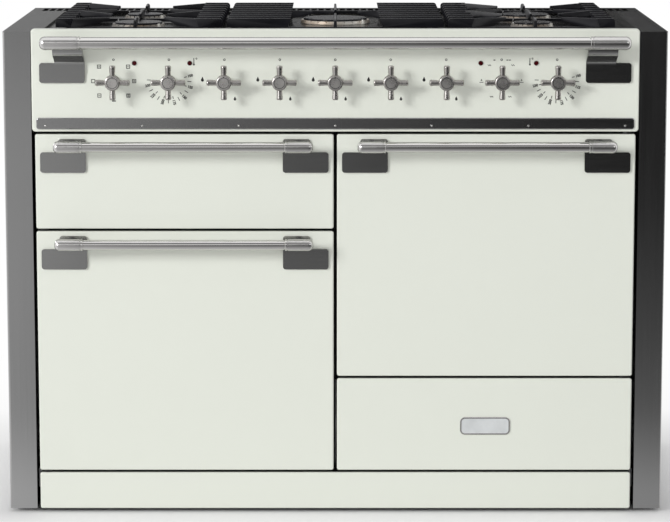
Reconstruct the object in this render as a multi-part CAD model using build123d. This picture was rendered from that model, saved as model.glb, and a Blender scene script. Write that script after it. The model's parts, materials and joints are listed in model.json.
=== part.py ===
from build123d import *
import os
from math import asin, cos, degrees, hypot, sin

# A freestanding dual fuel range cooker in millimetres, +Z up, with its front facing -Y.
# The origin is on the floor, under the middle of the overall box.
# "Depth" below is the distance behind the front edge of the side casings; ahead of it is negative.

# Overall body
OVERALL_WIDTH = 1200.0
BODY_DEPTH = 600.0
SIDE_WIDTH = 50.0
SIDE_CORNER = 4.0
FLOOR_GAP = 7.5
SHEET = 1.5

# Rows of the front, from the floor up
PLINTH_HEIGHT = 68.0
LOWER_DOOR_HEIGHT = 445.0
GRILL_FRONT_HEIGHT = 173.0
DRAWER_HEIGHT = 172.0
FASCIA_HEIGHT = 186.0
FASCIA_LIP = 5.0
ROW_GAP = 4.5
CENTRE_GAP = 6.0
SIDE_GAP = 6.0

# Doors and fronts
FRONT_PROUD = 2.0
SKIN_DEPTH = 38.0
SKIN_CORNER = 4.0
SKIN_EDGE = 3.0
LINER_MARGIN = 0.75
PLUG_INSET = 20.0
PLUG_HEIGHT = 3.5
SEAL_DEPTH = 8.7
SEAL_WIDTH = 10.0
SEAL_MARGIN = 8.0
SEAL_CLEARANCE = 0.3

# Door hinges
HINGE_PIN_RADIUS = 4.0
HINGE_PIN_LENGTH = 18.0
HINGE_PLATE = 3.0
HINGE_INSET = 14.0
HINGE_DEPTH = 12.0
HINGE_FLANGE_HEIGHT = 20.0
HINGE_ARM_WIDTH = 24.0
HINGE_BLOCK_WIDTH = 20.0
HINGE_BLOCK_HEIGHT = 26.0
HINGE_BORE_DEPTH = 20.0
RUNNING_CLEARANCE = 0.05
LOOSE_CLEARANCE = 0.5

# Chassis
BASE_HEIGHT = 40.0
BASE_PLATE = 2.0
PARTITION = 2.0
FRAME_PLATE = 3.0
TOP_RAIL_RISE = 14.0
DRAWER_RAIL_DROP = 12.0
CONTROL_BEAM_HEIGHT = 12.0
FOOT_INSET = 60.0
FOOT_FRONT_DEPTH = 90.0
FOOT_BACK_INSET = 60.0
FOOT_RADIUS = 20.0
FOOT_PAD_HEIGHT = 7.0
FOOT_STUD_RADIUS = 5.0
FOOT_STUD_ABOVE = 12.0
FOOT_NUT_HEIGHT = 8.0
FOOT_NUT_RADIUS = 9.5
LOUVRE_COUNT = 9
LOUVRE_PITCH = 16.0
LOUVRE_HEIGHT = 6.0
LOUVRE_WIDTH = 300.0
LOUVRE_TOP_DROP = 70.0
BACK_STRIP_WIDTH = 80.0

# Ovens
OVEN_WIDTH = 440.0
OVEN_HEIGHT = 350.0
OVEN_REAR_SPACE = 105.5
LINER_FLANGE = 12.0
FAN_COVER_WIDTH = 360.0
FAN_COVER_HEIGHT = 300.0
FAN_COVER_DEPTH = 56.0
FAN_COVER_CORNER = 20.0
FAN_COVER_HOLE_RADIUS = 8.0
FAN_COVER_HOLE_CIRCLE = 48.0
FAN_COVER_HOLE_COUNT = 12
FAN_COVER_SLOT = 10.0
FAN_COVER_SLOT_LENGTH = 180.0
SHAFT_RADIUS = 4.0
SHAFT_HOLE_RADIUS = 6.0
MOTOR_RADIUS = 38.0
MOTOR_LENGTH = 48.0
MOTOR_PLATE = 100.0
FAN_RADIUS = 72.0
FAN_DISC = 1.5
FAN_HUB_RADIUS = 10.0
FAN_HUB_LENGTH = 20.0
FAN_BLADE_COUNT = 10
FAN_BLADE_LENGTH = 30.0
FAN_BLADE_DEPTH = 14.0
FAN_WALL_GAP = 18.0
ELEMENT_RADIUS = 3.5
ELEMENT_LEAD_RADIUS = 4.5
RING_ELEMENT_RADIUS = 98.0
RING_ELEMENT_WALL_GAP = 24.0
ELEMENT_LEAD_GAP = 24.0
ELEMENT_LEAD_LENGTH = 20.0

# Wire shelves and the ladders that carry them
FRAME_WIRE_RADIUS = 3.0
CROSS_WIRE_RADIUS = 2.0
WIRE_SEAT = 0.1
LADDER_WALL_GAP = 5.0
LADDER_FRONT_GAP = 24.0
LADDER_RUNG_COUNT = 5
LADDER_PITCH = 62.0
LADDER_FIRST_RUNG = 50.0
LADDER_POST_INSET = 40.0
SHELF_RUNGS = (1, 3)
SHELF_CORNER = 14.0
SHELF_WIRE_COUNT = 13

# Glide-out grill
GRILL_CAVITY_HEIGHT = 145.0
GRILL_BACK_STEP = 10.0
GRILL_RUNNER_RISE = 54.0
GRILL_RUNNER_DEPTH = 12.0
GRILL_RUNNER_HEIGHT = 19.0
GRILL_RUNNER_REAR_GAP = 35.0
GRILL_LEDGE_WIDTH = 26.0
GRILL_LEDGE = 2.0
GRILL_PAN_HEIGHT = 34.0
GRILL_PAN_REAR_GAP = 29.0
GRILL_PAN_FRONT_GAP = 22.0
GRILL_PAN_FLANGE = 20.0
GRILL_CROSS_BAR = 4.0
TRIVET_MARGIN = 12.0
TRIVET_WIRE_COUNT = 17
TRIVET_LEG = 8.0
GRILL_ELEMENT_RADIUS = 4.0
GRILL_ELEMENT_DROP = 22.0
GRILL_ELEMENT_RUN_COUNT = 6
GRILL_ELEMENT_PITCH = 52.0
GRILL_ELEMENT_MARGIN = 65.0
GRILL_ELEMENT_BEND = 20.0

# Storage drawer
DRAWER_BOX_RISE = 16.0
DRAWER_BOX_HEIGHT = 120.0
DRAWER_REAR_GAP = 71.0
DRAWER_RUNNER_DEPTH = 12.0
DRAWER_RUNNER_HEIGHT = 33.0
DRAWER_RUNNER_RISE = 60.0
RUNNER_CLEARANCE = 0.5

# Door handles
HANDLE_END_GAP = 37.0
HANDLE_BAR_RADIUS = 9.4
HANDLE_CAP_RADIUS = 10.8
HANDLE_CAP_LENGTH = 52.0
HANDLE_STANDOFF = 45.0
HANDLE_DROP = 18.5
HANDLE_BRACKET_WIDTH = 83.0
HANDLE_BRACKET_HEIGHT = 37.0
HANDLE_BRACKET_DROP = 32.7
HANDLE_BRACKET_OVERHANG = 27.8
HANDLE_NECK_WIDTH = 50.0
HANDLE_NECK_DROP = 8.5
HANDLE_POST_RADIUS = 7.0
BRACKET_PLATE = 4.0
BRACKET_CORNER = 5.0
BRACKET_SEAT = 0.1
CAP_GROOVE = 1.2
CAP_NOSE_SHARE = 0.8

# Handrail along the fascia
RAIL_END_GAP = 21.0
RAIL_BAR_RADIUS = 11.0
RAIL_CAP_RADIUS = 12.0
RAIL_CAP_LENGTH = 74.0
RAIL_STANDOFF = 45.0
RAIL_DROP = 22.0
RAIL_BRACKET_WIDTH = 82.0
RAIL_BRACKET_HEIGHT = 36.0
RAIL_BRACKET_DROP = 61.0
RAIL_BRACKET_OVERHANG = 5.0
RAIL_NECK_WIDTH = 54.0
RAIL_NECK_THICKNESS = 6.0
RAIL_NECK_LOW_BEND = 57.0
RAIL_NECK_HIGH_BEND = 40.0
RAIL_NECK_BEND_RADIUS = 10.0

# Fascia
FASCIA_SIDE_GAP = 1.0
FASCIA_CORNER = 6.0
FASCIA_TOP_DEPTH = 18.0
STRIP_SIDE_GAP = 9.0
STRIP_RISE = 4.6
STRIP_HEIGHT = 21.0
STRIP_THICKNESS = 3.0
STRIP_CORNER = 5.0
STRIP_EDGE = 2.0

# Knobs, spindles and what they turn
KNOB_COUNT = 9
GAS_KNOBS = (2, 3, 4, 5, 6)
KNOB_END_GAP = 150.0
KNOB_RISE = 92.0
KNOB_PANEL_GAP = 6.0
KNOB_NECK_RADIUS = 9.5
KNOB_NECK_FRONT = 24.0
KNOB_HUB_BACK = 27.0
KNOB_HUB_RADIUS = 14.0
KNOB_HUB_FRONT = 42.0
KNOB_HUB_EDGE = 2.5
KNOB_ARM_AHEAD = 33.0
KNOB_ARM_REACH = 31.0
KNOB_ARM_ROOT_RADIUS = 4.5
KNOB_ARM_TIP_RADIUS = 5.75
KNOB_RING_RADIUS = 9.5
KNOB_RING_WIDTH = 1.0
KNOB_RING_DEPTH = 0.8
SPINDLE_RADIUS = 4.0
SPINDLE_AHEAD = 25.0
SPINDLE_END_ROOM = 1.0
SPINDLE_IN_VALVE = 20.0
PUSH_TRAVEL = 4.0
SPINDLE_HOLE_RADIUS = 5.0
VALVE_NOSE_RADIUS = 9.0
VALVE_NOSE_LENGTH = 12.0
VALVE_WIDTH = 26.0
VALVE_LENGTH = 30.0
VALVE_ABOVE = 14.0
VALVE_BELOW = 24.0
MANIFOLD_RADIUS = 8.0
MANIFOLD_BEND = 40.0
MANIFOLD_END_INSET = 30.0
MANIFOLD_OVERRUN = 30.0
GAS_INLET_RADIUS = 9.3
GAS_INLET_LENGTH = 18.0
GAS_INLET_OUTER_RADIUS = 15.0
GAS_INLET_RECESS = 4.0
GAS_INLET_ROOM = 25.0
PIPE_RADIUS = 3.0
PIPE_BEND = 9.0
PIPE_RISE = 18.0
CONTROL_SIZE = 44.0
CONTROL_LENGTH = 32.0
LENS_KNOBS = ((0, 1), (1, 1), (7, -1), (8, -1))
LENS_KNOB_OFFSET = 37.5
LENS_RISE = 124.5
LENS_RADIUS = 3.3
LENS_FLANGE_RADIUS = 4.4
LENS_FLANGE = 1.0
LENS_DOME = 1.6
LENS_BODY_LENGTH = 9.0

# Hob
HOB_SKIRT = 40.0
HOB_FRONT_GAP = 0.5
HOB_RIM_SIDE = 18.0
HOB_RIM_FRONT = 12.0
HOB_RIM_BACK = 10.0
HOB_DECK_DROP = 4.0
VENT_LENGTH = 97.0
VENT_SLOT_PITCH = 14.0
VENT_SLOT_WIDTH = 10.5
VENT_SLOT_LENGTH = 64.0
VENT_SLOT_FRONT = 14.0
VENT_END_MARGIN = 14.0
BURNER_DISH_RADIUS = 78.0
BURNER_DISH_SLOPE = 6.0
BURNER_DISH_HEIGHT = 1.0
BURNER_HEAD_HEIGHT = 5.0
BURNER_SPIGOT_INSET = 12.0
BURNER_SPIGOT_LENGTH = 16.0
BURNER_CAP_INSET = 6.0
BURNER_CAP_HEIGHT = 3.5
BURNER_CAP_EDGE = 1.5
BURNER_PORT_WIDTH = 2.0
BURNER_PORT_HEIGHT = 2.5
BURNER_PORT_DEPTH = 5.0
BURNER_PORT_COUNT = 24
FRONT_BURNER_BAR = 2
CENTRE_BURNER_BAR = 4
BACK_BURNER_BAR = 6
SMALL_BURNER_RADIUS = 40.0
LARGE_BURNER_RADIUS = 50.0
CENTRE_BURNER_RADIUS = 66.0

# Pan supports
GRATE_FRONT_DEPTH = 70.0
GRATE_BAR_COUNT = 9
GRATE_BACK_GAP = 27.0
GRATE_BAR_THICKNESS = 7.0
GRATE_FOOT_GAP = 0.1
GRATE_UNDERSIDE = 6.6
GRATE_TOP = 23.0
FINGER_STEP = 0.6
FINGER_THICKNESS = 7.6
FINGER_TOP_EDGE = 3.6
FINGER_TIP_HEIGHT = 4.5
FINGER_TIP_DROP = 1.6
FINGER_CUT_LENGTH = 40.0
FINGER_RISE_LENGTH = 18.0
FINGER_LAP = 2.0
SPIKE_NOSE_HEIGHT = 18.0
SPIKE_CLEAR_RADIUS = 36.0
CROSS_BAR_LOW = 1.5
CROSS_BAR_TOP = 7.5
GRATE_BAR_ROUNDING = 6.0
GRATE_RAIL_WIDTH = 9.0
GRATE_RAIL_TOP = 14.0
GRATE_FOOT = 12.0
GRATE_GAP = 8.0
SIDE_GRATE_MARGIN = 40.0
SIDE_RACK_INNER_LENGTH = 48.0
SIDE_RACK_OUTER_LENGTH = 33.0
FINGER_CLEAR_RADIUS = 68.0
CENTRE_GRATE_HALF = 198.0
CENTRE_RACK_LENGTH = 117.0
CENTRE_FINGER_REACH = 43.0

# Heights worked out from the rows
PLINTH_TOP = FLOOR_GAP + PLINTH_HEIGHT
ROWS_BOTTOM = PLINTH_TOP + ROW_GAP
LEFT_DOOR_TOP = ROWS_BOTTOM + LOWER_DOOR_HEIGHT
GRILL_BOTTOM = LEFT_DOOR_TOP + ROW_GAP
ROWS_TOP = GRILL_BOTTOM + GRILL_FRONT_HEIGHT
DRAWER_TOP = ROWS_BOTTOM + DRAWER_HEIGHT
RIGHT_DOOR_BOTTOM = DRAWER_TOP + ROW_GAP
FASCIA_BOTTOM = ROWS_TOP + ROW_GAP
FASCIA_TOP = FASCIA_BOTTOM + FASCIA_HEIGHT
SIDE_TOP = FASCIA_TOP - FASCIA_LIP
DECK_TOP = SIDE_TOP - HOB_DECK_DROP
HOB_BOTTOM = SIDE_TOP - HOB_SKIRT
BASE_TOP = BASE_HEIGHT + BASE_PLATE
LEFT_OVEN_BOTTOM = (ROWS_BOTTOM + LEFT_DOOR_TOP - OVEN_HEIGHT) / 2
RIGHT_OVEN_BOTTOM = (RIGHT_DOOR_BOTTOM + ROWS_TOP - OVEN_HEIGHT) / 2
GRILL_CAVITY_BOTTOM = (GRILL_BOTTOM + ROWS_TOP - GRILL_CAVITY_HEIGHT) / 2
GRILL_RUNNER_Z = GRILL_CAVITY_BOTTOM + GRILL_RUNNER_RISE
DRAWER_RUNNER_Z = ROWS_BOTTOM + DRAWER_BOX_RISE + DRAWER_RUNNER_RISE
KNOB_Z = FASCIA_BOTTOM + KNOB_RISE
RAIL_Z = FASCIA_TOP - RAIL_DROP
MANIFOLD_Z = KNOB_Z - VALVE_BELOW - MANIFOLD_RADIUS

# Widths worked out from the overall width
INNER_HALF = OVERALL_WIDTH / 2 - SIDE_WIDTH
DOOR_INNER = CENTRE_GAP / 2
DOOR_OUTER = INNER_HALF - SIDE_GAP
COLUMN_X = (DOOR_INNER + DOOR_OUTER) / 2
WALL_FACE = INNER_HALF - SHEET
OVEN_HALF = OVEN_WIDTH / 2
HANDLE_LENGTH = DOOR_OUTER - DOOR_INNER - 2 * HANDLE_END_GAP
RAIL_LENGTH = 2 * (INNER_HALF - RAIL_END_GAP)
KNOB_PITCH = 2 * (INNER_HALF - KNOB_END_GAP) / (KNOB_COUNT - 1)
SIDE_GRATE_INNER = CENTRE_GRATE_HALF + GRATE_GAP
SIDE_GRATE_OUTER = INNER_HALF - SIDE_GRATE_MARGIN
SIDE_RACK_INNER_END = SIDE_GRATE_INNER + SIDE_RACK_INNER_LENGTH
SIDE_RACK_OUTER_END = SIDE_GRATE_OUTER - SIDE_RACK_OUTER_LENGTH
SIDE_BURNER_X = (SIDE_RACK_INNER_END + SIDE_RACK_OUTER_END) / 2

# Depths behind the side casings' front edge
DOOR_FRONT = -FRONT_PROUD
SKIN_BACK = DOOR_FRONT + SKIN_DEPTH
PLATE_BACK = SKIN_BACK + SHEET
LINER_BACK = PLATE_BACK + PLUG_HEIGHT
FRAME_FRONT = LINER_BACK + SEAL_CLEARANCE + SEAL_DEPTH
FRAME_BACK = FRAME_FRONT + FRAME_PLATE
PANEL_FACE = BODY_DEPTH - SHEET
OVEN_BACK = PANEL_FACE - OVEN_REAR_SPACE
GRILL_BACK = OVEN_BACK - GRILL_BACK_STEP
GRILL_RUNNER_END = GRILL_BACK - GRILL_RUNNER_REAR_GAP
GRILL_PAN_FRONT = FRAME_BACK + GRILL_PAN_FRONT_GAP
GRILL_PAN_BACK = GRILL_RUNNER_END - GRILL_CROSS_BAR - GRILL_PAN_REAR_GAP
DRAWER_BOX_BACK = PANEL_FACE - DRAWER_REAR_GAP
VENT_FRONT = BODY_DEPTH - VENT_LENGTH
HOB_FRONT = FASCIA_TOP_DEPTH + HOB_FRONT_GAP
GRATE_BAR_PITCH = (VENT_FRONT - GRATE_BACK_GAP - GRATE_FRONT_DEPTH) / (GRATE_BAR_COUNT - 1)
FRONT_BURNER_DEPTH = GRATE_FRONT_DEPTH + FRONT_BURNER_BAR * GRATE_BAR_PITCH
CENTRE_BURNER_DEPTH = GRATE_FRONT_DEPTH + CENTRE_BURNER_BAR * GRATE_BAR_PITCH
BACK_BURNER_DEPTH = GRATE_FRONT_DEPTH + BACK_BURNER_BAR * GRATE_BAR_PITCH
FRONT_REACH = FRONT_PROUD + max(
    HANDLE_STANDOFF + HANDLE_CAP_RADIUS, RAIL_STANDOFF + RAIL_CAP_RADIUS, KNOB_HUB_FRONT
)
FRONT_Y = (FRONT_REACH - BODY_DEPTH) / 2

FORWARD = (0, -1, 0)
BACKWARD = (0, 1, 0)
RIGHTWARD = (1, 0, 0)
UPWARD = (0, 0, 1)
FROM_START = (Align.CENTER, Align.CENTER, Align.MIN)


def y_at(depth):
    """The Y of a depth behind the side casings' front edge."""
    return FRONT_Y + depth


def block(x0, x1, d0, d1, z0, z1):
    """A box between two corners."""
    centre = Pos((x0 + x1) / 2, y_at((d0 + d1) / 2), (z0 + z1) / 2)
    return centre * Box(x1 - x0, d1 - d0, z1 - z0)


def rod(start, direction, length, radius):
    """A round bar from a point, along a direction."""
    return Plane(origin=start, z_dir=direction) * Cylinder(radius, length, align=FROM_START)


def rod_back(x, z, d0, d1, radius):
    """A round bar that runs from front to back."""
    return rod((x, y_at(d0), z), BACKWARD, d1 - d0, radius)


def turned(profile, origin, direction):
    """A profile of (radius, distance along the axis), revolved about an axis through a point."""
    side = UPWARD if direction != UPWARD else RIGHTWARD
    plane = Plane(origin=origin, x_dir=side, z_dir=Vector(side).cross(Vector(direction)))
    return revolve(plane * profile, Axis(origin, direction))


def outer_corner(outline):
    """The corner of a turned outline that lies furthest out and furthest along."""
    return max(outline.vertices(), key=lambda vertex: vertex.X + vertex.Y)


def front_plate(x0, x1, z0, z1, d0, d1, corner):
    """A plate that faces the front, with rounded corners."""
    outline = Pos((x0 + x1) / 2, (z0 + z1) / 2) * RectangleRounded(x1 - x0, z1 - z0, corner)
    return extrude(Plane.XZ.offset(-y_at(d1)) * outline, d1 - d0)


def mirrored(shape, x=0.0):
    """The same shape on the other side of a plane across X."""
    return mirror(shape, about=Plane.YZ.offset(x))


def group(*shapes):
    """Separate solids that make one node."""
    return Compound(children=[solid for shape in shapes for solid in shape.solids()])


def front_edges(shape):
    """The edges around the foremost face."""
    return shape.faces().sort_by(Axis.Y)[0].edges()


def skin(x0, x1, z0, z1, back=SKIN_BACK):
    """A painted front: a folded pan, open at the back, with soft edges."""
    outer = front_plate(x0, x1, z0, z1, DOOR_FRONT, back, SKIN_CORNER)
    outer = fillet(front_edges(outer), SKIN_EDGE)
    hollow = block(x0 + SHEET, x1 - SHEET, DOOR_FRONT + SHEET, back, z0 + SHEET, z1 - SHEET)
    return outer - hollow


def inner_plate(x0, x1, z0, z1):
    """The flat plate that closes a front at the back."""
    m = LINER_MARGIN
    return block(x0 + m, x1 - m, SKIN_BACK, PLATE_BACK, z0 + m, z1 - m)


# Body and chassis


def side_panel():
    """The right side casing, open towards the chassis wall and notched for the rear vent."""
    half = OVERALL_WIDTH / 2
    outer = block(INNER_HALF, half, 0, BODY_DEPTH, FLOOR_GAP, SIDE_TOP)
    outer = fillet(outer.edges().filter_by(Axis.Z).group_by(Axis.X)[-1], SIDE_CORNER)
    hollow = block(
        INNER_HALF, half - SHEET, SHEET, BODY_DEPTH - SHEET, FLOOR_GAP + SHEET, SIDE_TOP - SHEET
    )
    notch = block(INNER_HALF, half, VENT_FRONT, BODY_DEPTH, HOB_BOTTOM, SIDE_TOP)
    return outer - hollow - notch


def foot_positions():
    """The (x, depth) of each levelling foot."""
    x = INNER_HALF - FOOT_INSET
    return [(sx * x, d) for sx in (-1, 1) for d in (FOOT_FRONT_DEPTH, BODY_DEPTH - FOOT_BACK_INSET)]


def chassis():
    """Base tray, side walls and centre partition."""
    base = block(-INNER_HALF, INNER_HALF, SKIN_BACK, BODY_DEPTH, BASE_HEIGHT, BASE_TOP)
    base += block(-INNER_HALF, INNER_HALF, SKIN_BACK, PLATE_BACK, BASE_HEIGHT, PLINTH_TOP - SHEET / 2)
    for x, depth in foot_positions():
        hole_start = (x, y_at(depth), BASE_HEIGHT)
        base -= rod(hole_start, UPWARD, BASE_PLATE, FOOT_STUD_RADIUS + LOOSE_CLEARANCE)
    wall = block(WALL_FACE, INNER_HALF, FRAME_BACK, PANEL_FACE, BASE_TOP, HOB_BOTTOM)
    partition = block(-PARTITION / 2, PARTITION / 2, FRAME_BACK, PANEL_FACE, BASE_TOP, ROWS_TOP)
    return group(base, wall, mirrored(wall), partition)


def frame_bar(x0, x1, z0, z1):
    """One flat rail or stile of the front frame."""
    return block(x0, x1, FRAME_FRONT, FRAME_BACK, z0, z1)


def front_frame():
    """The rails and stiles around the two ovens, the grill and the drawer."""
    inner = COLUMN_X - OVEN_HALF
    outer = COLUMN_X + OVEN_HALF
    top = FASCIA_BOTTOM + TOP_RAIL_RISE
    left_top = LEFT_OVEN_BOTTOM + OVEN_HEIGHT
    right_top = RIGHT_OVEN_BOTTOM + OVEN_HEIGHT
    grill_top = GRILL_CAVITY_BOTTOM + GRILL_CAVITY_HEIGHT
    return group(
        frame_bar(-INNER_HALF, -outer, BASE_TOP, top),
        frame_bar(-inner, 0, BASE_TOP, top),
        frame_bar(-outer, -inner, BASE_TOP, LEFT_OVEN_BOTTOM),
        frame_bar(-outer, -inner, left_top, GRILL_CAVITY_BOTTOM),
        frame_bar(-outer, -inner, grill_top, top),
        frame_bar(0, INNER_HALF, DRAWER_TOP - DRAWER_RAIL_DROP, RIGHT_OVEN_BOTTOM),
        frame_bar(0, inner, RIGHT_OVEN_BOTTOM, top),
        frame_bar(outer, INNER_HALF, RIGHT_OVEN_BOTTOM, top),
        frame_bar(inner, outer, right_top, top),
        frame_bar(-INNER_HALF, INNER_HALF, HOB_BOTTOM - CONTROL_BEAM_HEIGHT, HOB_BOTTOM),
    )


def gas_inlet_x():
    """Where the gas feed runs back, inside the right chassis wall."""
    return WALL_FACE - MANIFOLD_END_INSET


def back_panel():
    """Two back sheets: one with louvre slots, and a lower one that leaves the gas inlet's corner open."""
    seam = INNER_HALF - BACK_STRIP_WIDTH
    strip_top = MANIFOLD_Z - GAS_INLET_OUTER_RADIUS - GAS_INLET_ROOM
    panel = block(-INNER_HALF, seam, PANEL_FACE, BODY_DEPTH, BASE_TOP, HOB_BOTTOM)
    strip = block(seam + LOOSE_CLEARANCE, INNER_HALF, PANEL_FACE, BODY_DEPTH, BASE_TOP, strip_top)
    slots = []
    for side in (-1, 1):
        for index in range(LOUVRE_COUNT):
            z = HOB_BOTTOM - LOUVRE_TOP_DROP - index * LOUVRE_PITCH
            slots.append(
                block(
                    side * COLUMN_X - LOUVRE_WIDTH / 2,
                    side * COLUMN_X + LOUVRE_WIDTH / 2,
                    PANEL_FACE,
                    BODY_DEPTH,
                    z - LOUVRE_HEIGHT,
                    z,
                )
            )
    return group(panel - slots, strip)


def levelling_foot(x, depth):
    """A foot pad on a stud, with its lock nut against the base tray."""
    origin = (x, y_at(depth), 0)
    pad = Polygon(
        (0, 0),
        (FOOT_RADIUS, 0),
        (FOOT_RADIUS, FOOT_PAD_HEIGHT / 2),
        (FOOT_STUD_RADIUS, FOOT_PAD_HEIGHT),
        (FOOT_STUD_RADIUS, BASE_TOP + FOOT_STUD_ABOVE),
        (0, BASE_TOP + FOOT_STUD_ABOVE),
        align=None,
    )
    nut_base = Plane(origin=(x, y_at(depth), BASE_HEIGHT - FOOT_NUT_HEIGHT))
    nut = extrude(nut_base * RegularPolygon(FOOT_NUT_RADIUS, 6), FOOT_NUT_HEIGHT)
    return turned(pad, origin, UPWARD) + nut


# Ovens and grill


def cavity_liner(cx, z0, height, back):
    """An enamelled liner: five walls and a flange behind the front frame."""
    half = OVEN_HALF
    s = SHEET
    f = SHEET + LINER_FLANGE
    walls = block(cx - half - s, cx + half + s, FRAME_BACK, back + s, z0 - s, z0 + height + s)
    flange = block(cx - half - f, cx + half + f, FRAME_BACK, FRAME_BACK + s, z0 - f, z0 + height + f)
    hollow = block(cx - half, cx + half, FRAME_BACK, back, z0, z0 + height)
    return walls + flange - hollow


def lead_positions(cx, z):
    """The two leads of an element, side by side."""
    return [(cx + side * ELEMENT_LEAD_GAP / 2, z) for side in (-1, 1)]


def ring_lead_z(cz):
    """The height of a ring element's leads, near the bottom of the ring."""
    drop = (RING_ELEMENT_RADIUS**2 - (ELEMENT_LEAD_GAP / 2) ** 2) ** 0.5
    return cz - drop


def oven_liner(cx, z0):
    """An oven liner with its fan cover, and holes for the fan shaft and the element leads."""
    cz = z0 + OVEN_HEIGHT / 2
    liner = cavity_liner(cx, z0, OVEN_HEIGHT, OVEN_BACK)
    liner -= rod_back(cx, cz, OVEN_BACK, OVEN_BACK + SHEET, SHAFT_HOLE_RADIUS)
    for x, z in lead_positions(cx, ring_lead_z(cz)):
        liner -= rod_back(x, z, OVEN_BACK, OVEN_BACK + SHEET, ELEMENT_LEAD_RADIUS + LOOSE_CLEARANCE)
    return group(liner, fan_cover(cx, cz))


def fan_cover(cx, cz):
    """A dished, perforated cover over the fan and the ring element."""
    hw = FAN_COVER_WIDTH / 2
    hh = FAN_COVER_HEIGHT / 2
    front = OVEN_BACK - FAN_COVER_DEPTH
    cover = front_plate(cx - hw, cx + hw, cz - hh, cz + hh, front, OVEN_BACK, FAN_COVER_CORNER)
    cover -= front_plate(
        cx - hw + SHEET,
        cx + hw - SHEET,
        cz - hh + SHEET,
        cz + hh - SHEET,
        front + SHEET,
        OVEN_BACK,
        FAN_COVER_CORNER - SHEET,
    )
    holes = [rod_back(cx, cz, front, front + SHEET, FAN_COVER_HOLE_RADIUS)]
    for spot in PolarLocations(FAN_COVER_HOLE_CIRCLE, FAN_COVER_HOLE_COUNT):
        x = cx + spot.position.X
        z = cz + spot.position.Y
        holes.append(rod_back(x, z, front, front + SHEET, FAN_COVER_HOLE_RADIUS))
    slot_half = FAN_COVER_SLOT_LENGTH / 2
    slot_mid = front + FAN_COVER_DEPTH / 2
    slot = block(
        cx - hw,
        cx + hw,
        slot_mid - FAN_COVER_SLOT / 2,
        slot_mid + FAN_COVER_SLOT / 2,
        cz - slot_half,
        cz + slot_half,
    )
    return cover - holes - slot


def ring_element(cx, cz):
    """An open ring with a thicker lead at each end, out through the liner."""
    depth = OVEN_BACK - RING_ELEMENT_WALL_GAP
    half_gap = asin(ELEMENT_LEAD_GAP / 2 / RING_ELEMENT_RADIUS)
    leads = lead_positions(cx, ring_lead_z(cz))
    first_x, first_z = leads[-1]
    tangent = (cos(half_gap), 0, sin(half_gap))
    start = Plane(origin=(first_x, y_at(depth), first_z), x_dir=BACKWARD, z_dir=tangent)
    axis = Axis((cx, y_at(depth), cz), FORWARD)
    ring = revolve(start * Circle(ELEMENT_RADIUS), axis, 360 - 2 * degrees(half_gap))
    end = OVEN_BACK + SHEET + ELEMENT_LEAD_LENGTH
    lead_start = depth - ELEMENT_LEAD_RADIUS
    return ring.fuse(*(rod_back(x, z, lead_start, end, ELEMENT_LEAD_RADIUS) for x, z in leads))


def grill_element():
    """A serpentine element under the grill cavity's roof, with two leads out at the back."""
    z = GRILL_CAVITY_BOTTOM + GRILL_CAVITY_HEIGHT - GRILL_ELEMENT_DROP
    end = GRILL_BACK + SHEET + ELEMENT_LEAD_LENGTH
    span = (GRILL_ELEMENT_RUN_COUNT - 1) * GRILL_ELEMENT_PITCH
    first = -COLUMN_X - span / 2
    near = y_at(FRAME_BACK + GRILL_ELEMENT_MARGIN)
    far = y_at(GRILL_BACK - GRILL_ELEMENT_MARGIN)
    points = [(first, y_at(end), z)]
    for run in range(GRILL_ELEMENT_RUN_COUNT):
        x = first + run * GRILL_ELEMENT_PITCH
        stops = (far, near) if run % 2 == 0 else (near, far)
        points.extend((x, stop, z) for stop in stops)
    points.append((first + span, y_at(end), z))
    points = [p for i, p in enumerate(points) if i not in (1, len(points) - 2)]
    path = FilletPolyline(*points, radius=GRILL_ELEMENT_BEND)
    section = Plane(origin=path @ 0, z_dir=path % 0) * Circle(GRILL_ELEMENT_RADIUS)
    return sweep(section, path)


def grill_lead_xs():
    """The X of the grill element's two leads."""
    half_span = (GRILL_ELEMENT_RUN_COUNT - 1) * GRILL_ELEMENT_PITCH / 2
    return (-COLUMN_X - half_span, -COLUMN_X + half_span)


def grill_liner():
    """The grill cavity, with holes for the element leads."""
    liner = cavity_liner(-COLUMN_X, GRILL_CAVITY_BOTTOM, GRILL_CAVITY_HEIGHT, GRILL_BACK)
    z = GRILL_CAVITY_BOTTOM + GRILL_CAVITY_HEIGHT - GRILL_ELEMENT_DROP
    for x in grill_lead_xs():
        hole_radius = GRILL_ELEMENT_RADIUS + LOOSE_CLEARANCE
        liner -= rod_back(x, z, GRILL_BACK, GRILL_BACK + SHEET, hole_radius)
    return liner


def oven_seal(z0):
    """The seal around the right oven's mouth."""
    gap = OVEN_HALF + SEAL_MARGIN
    out = gap + SEAL_WIDTH
    low = z0 - SEAL_MARGIN
    high = z0 + OVEN_HEIGHT + SEAL_MARGIN
    start = FRAME_FRONT - SEAL_DEPTH
    ring = front_plate(
        COLUMN_X - out,
        COLUMN_X + out,
        low - SEAL_WIDTH,
        high + SEAL_WIDTH,
        start,
        FRAME_FRONT,
        2 * SEAL_WIDTH,
    )
    mouth = front_plate(COLUMN_X - gap, COLUMN_X + gap, low, high, start, FRAME_FRONT, SEAL_WIDTH)
    return ring - mouth


def fan_motor(cx, cz):
    """A motor on its plate behind the liner, with the shaft that carries the fan."""
    start = OVEN_BACK + SHEET
    half = MOTOR_PLATE / 2
    motor = block(cx - half, cx + half, start, start + SHEET, cz - half, cz + half)
    motor += rod_back(cx, cz, start + SHEET, start + SHEET + MOTOR_LENGTH, MOTOR_RADIUS)
    tip = OVEN_BACK - FAN_WALL_GAP - FAN_HUB_LENGTH - SHAFT_RADIUS
    return motor + rod_back(cx, cz, tip, start, SHAFT_RADIUS)


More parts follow.
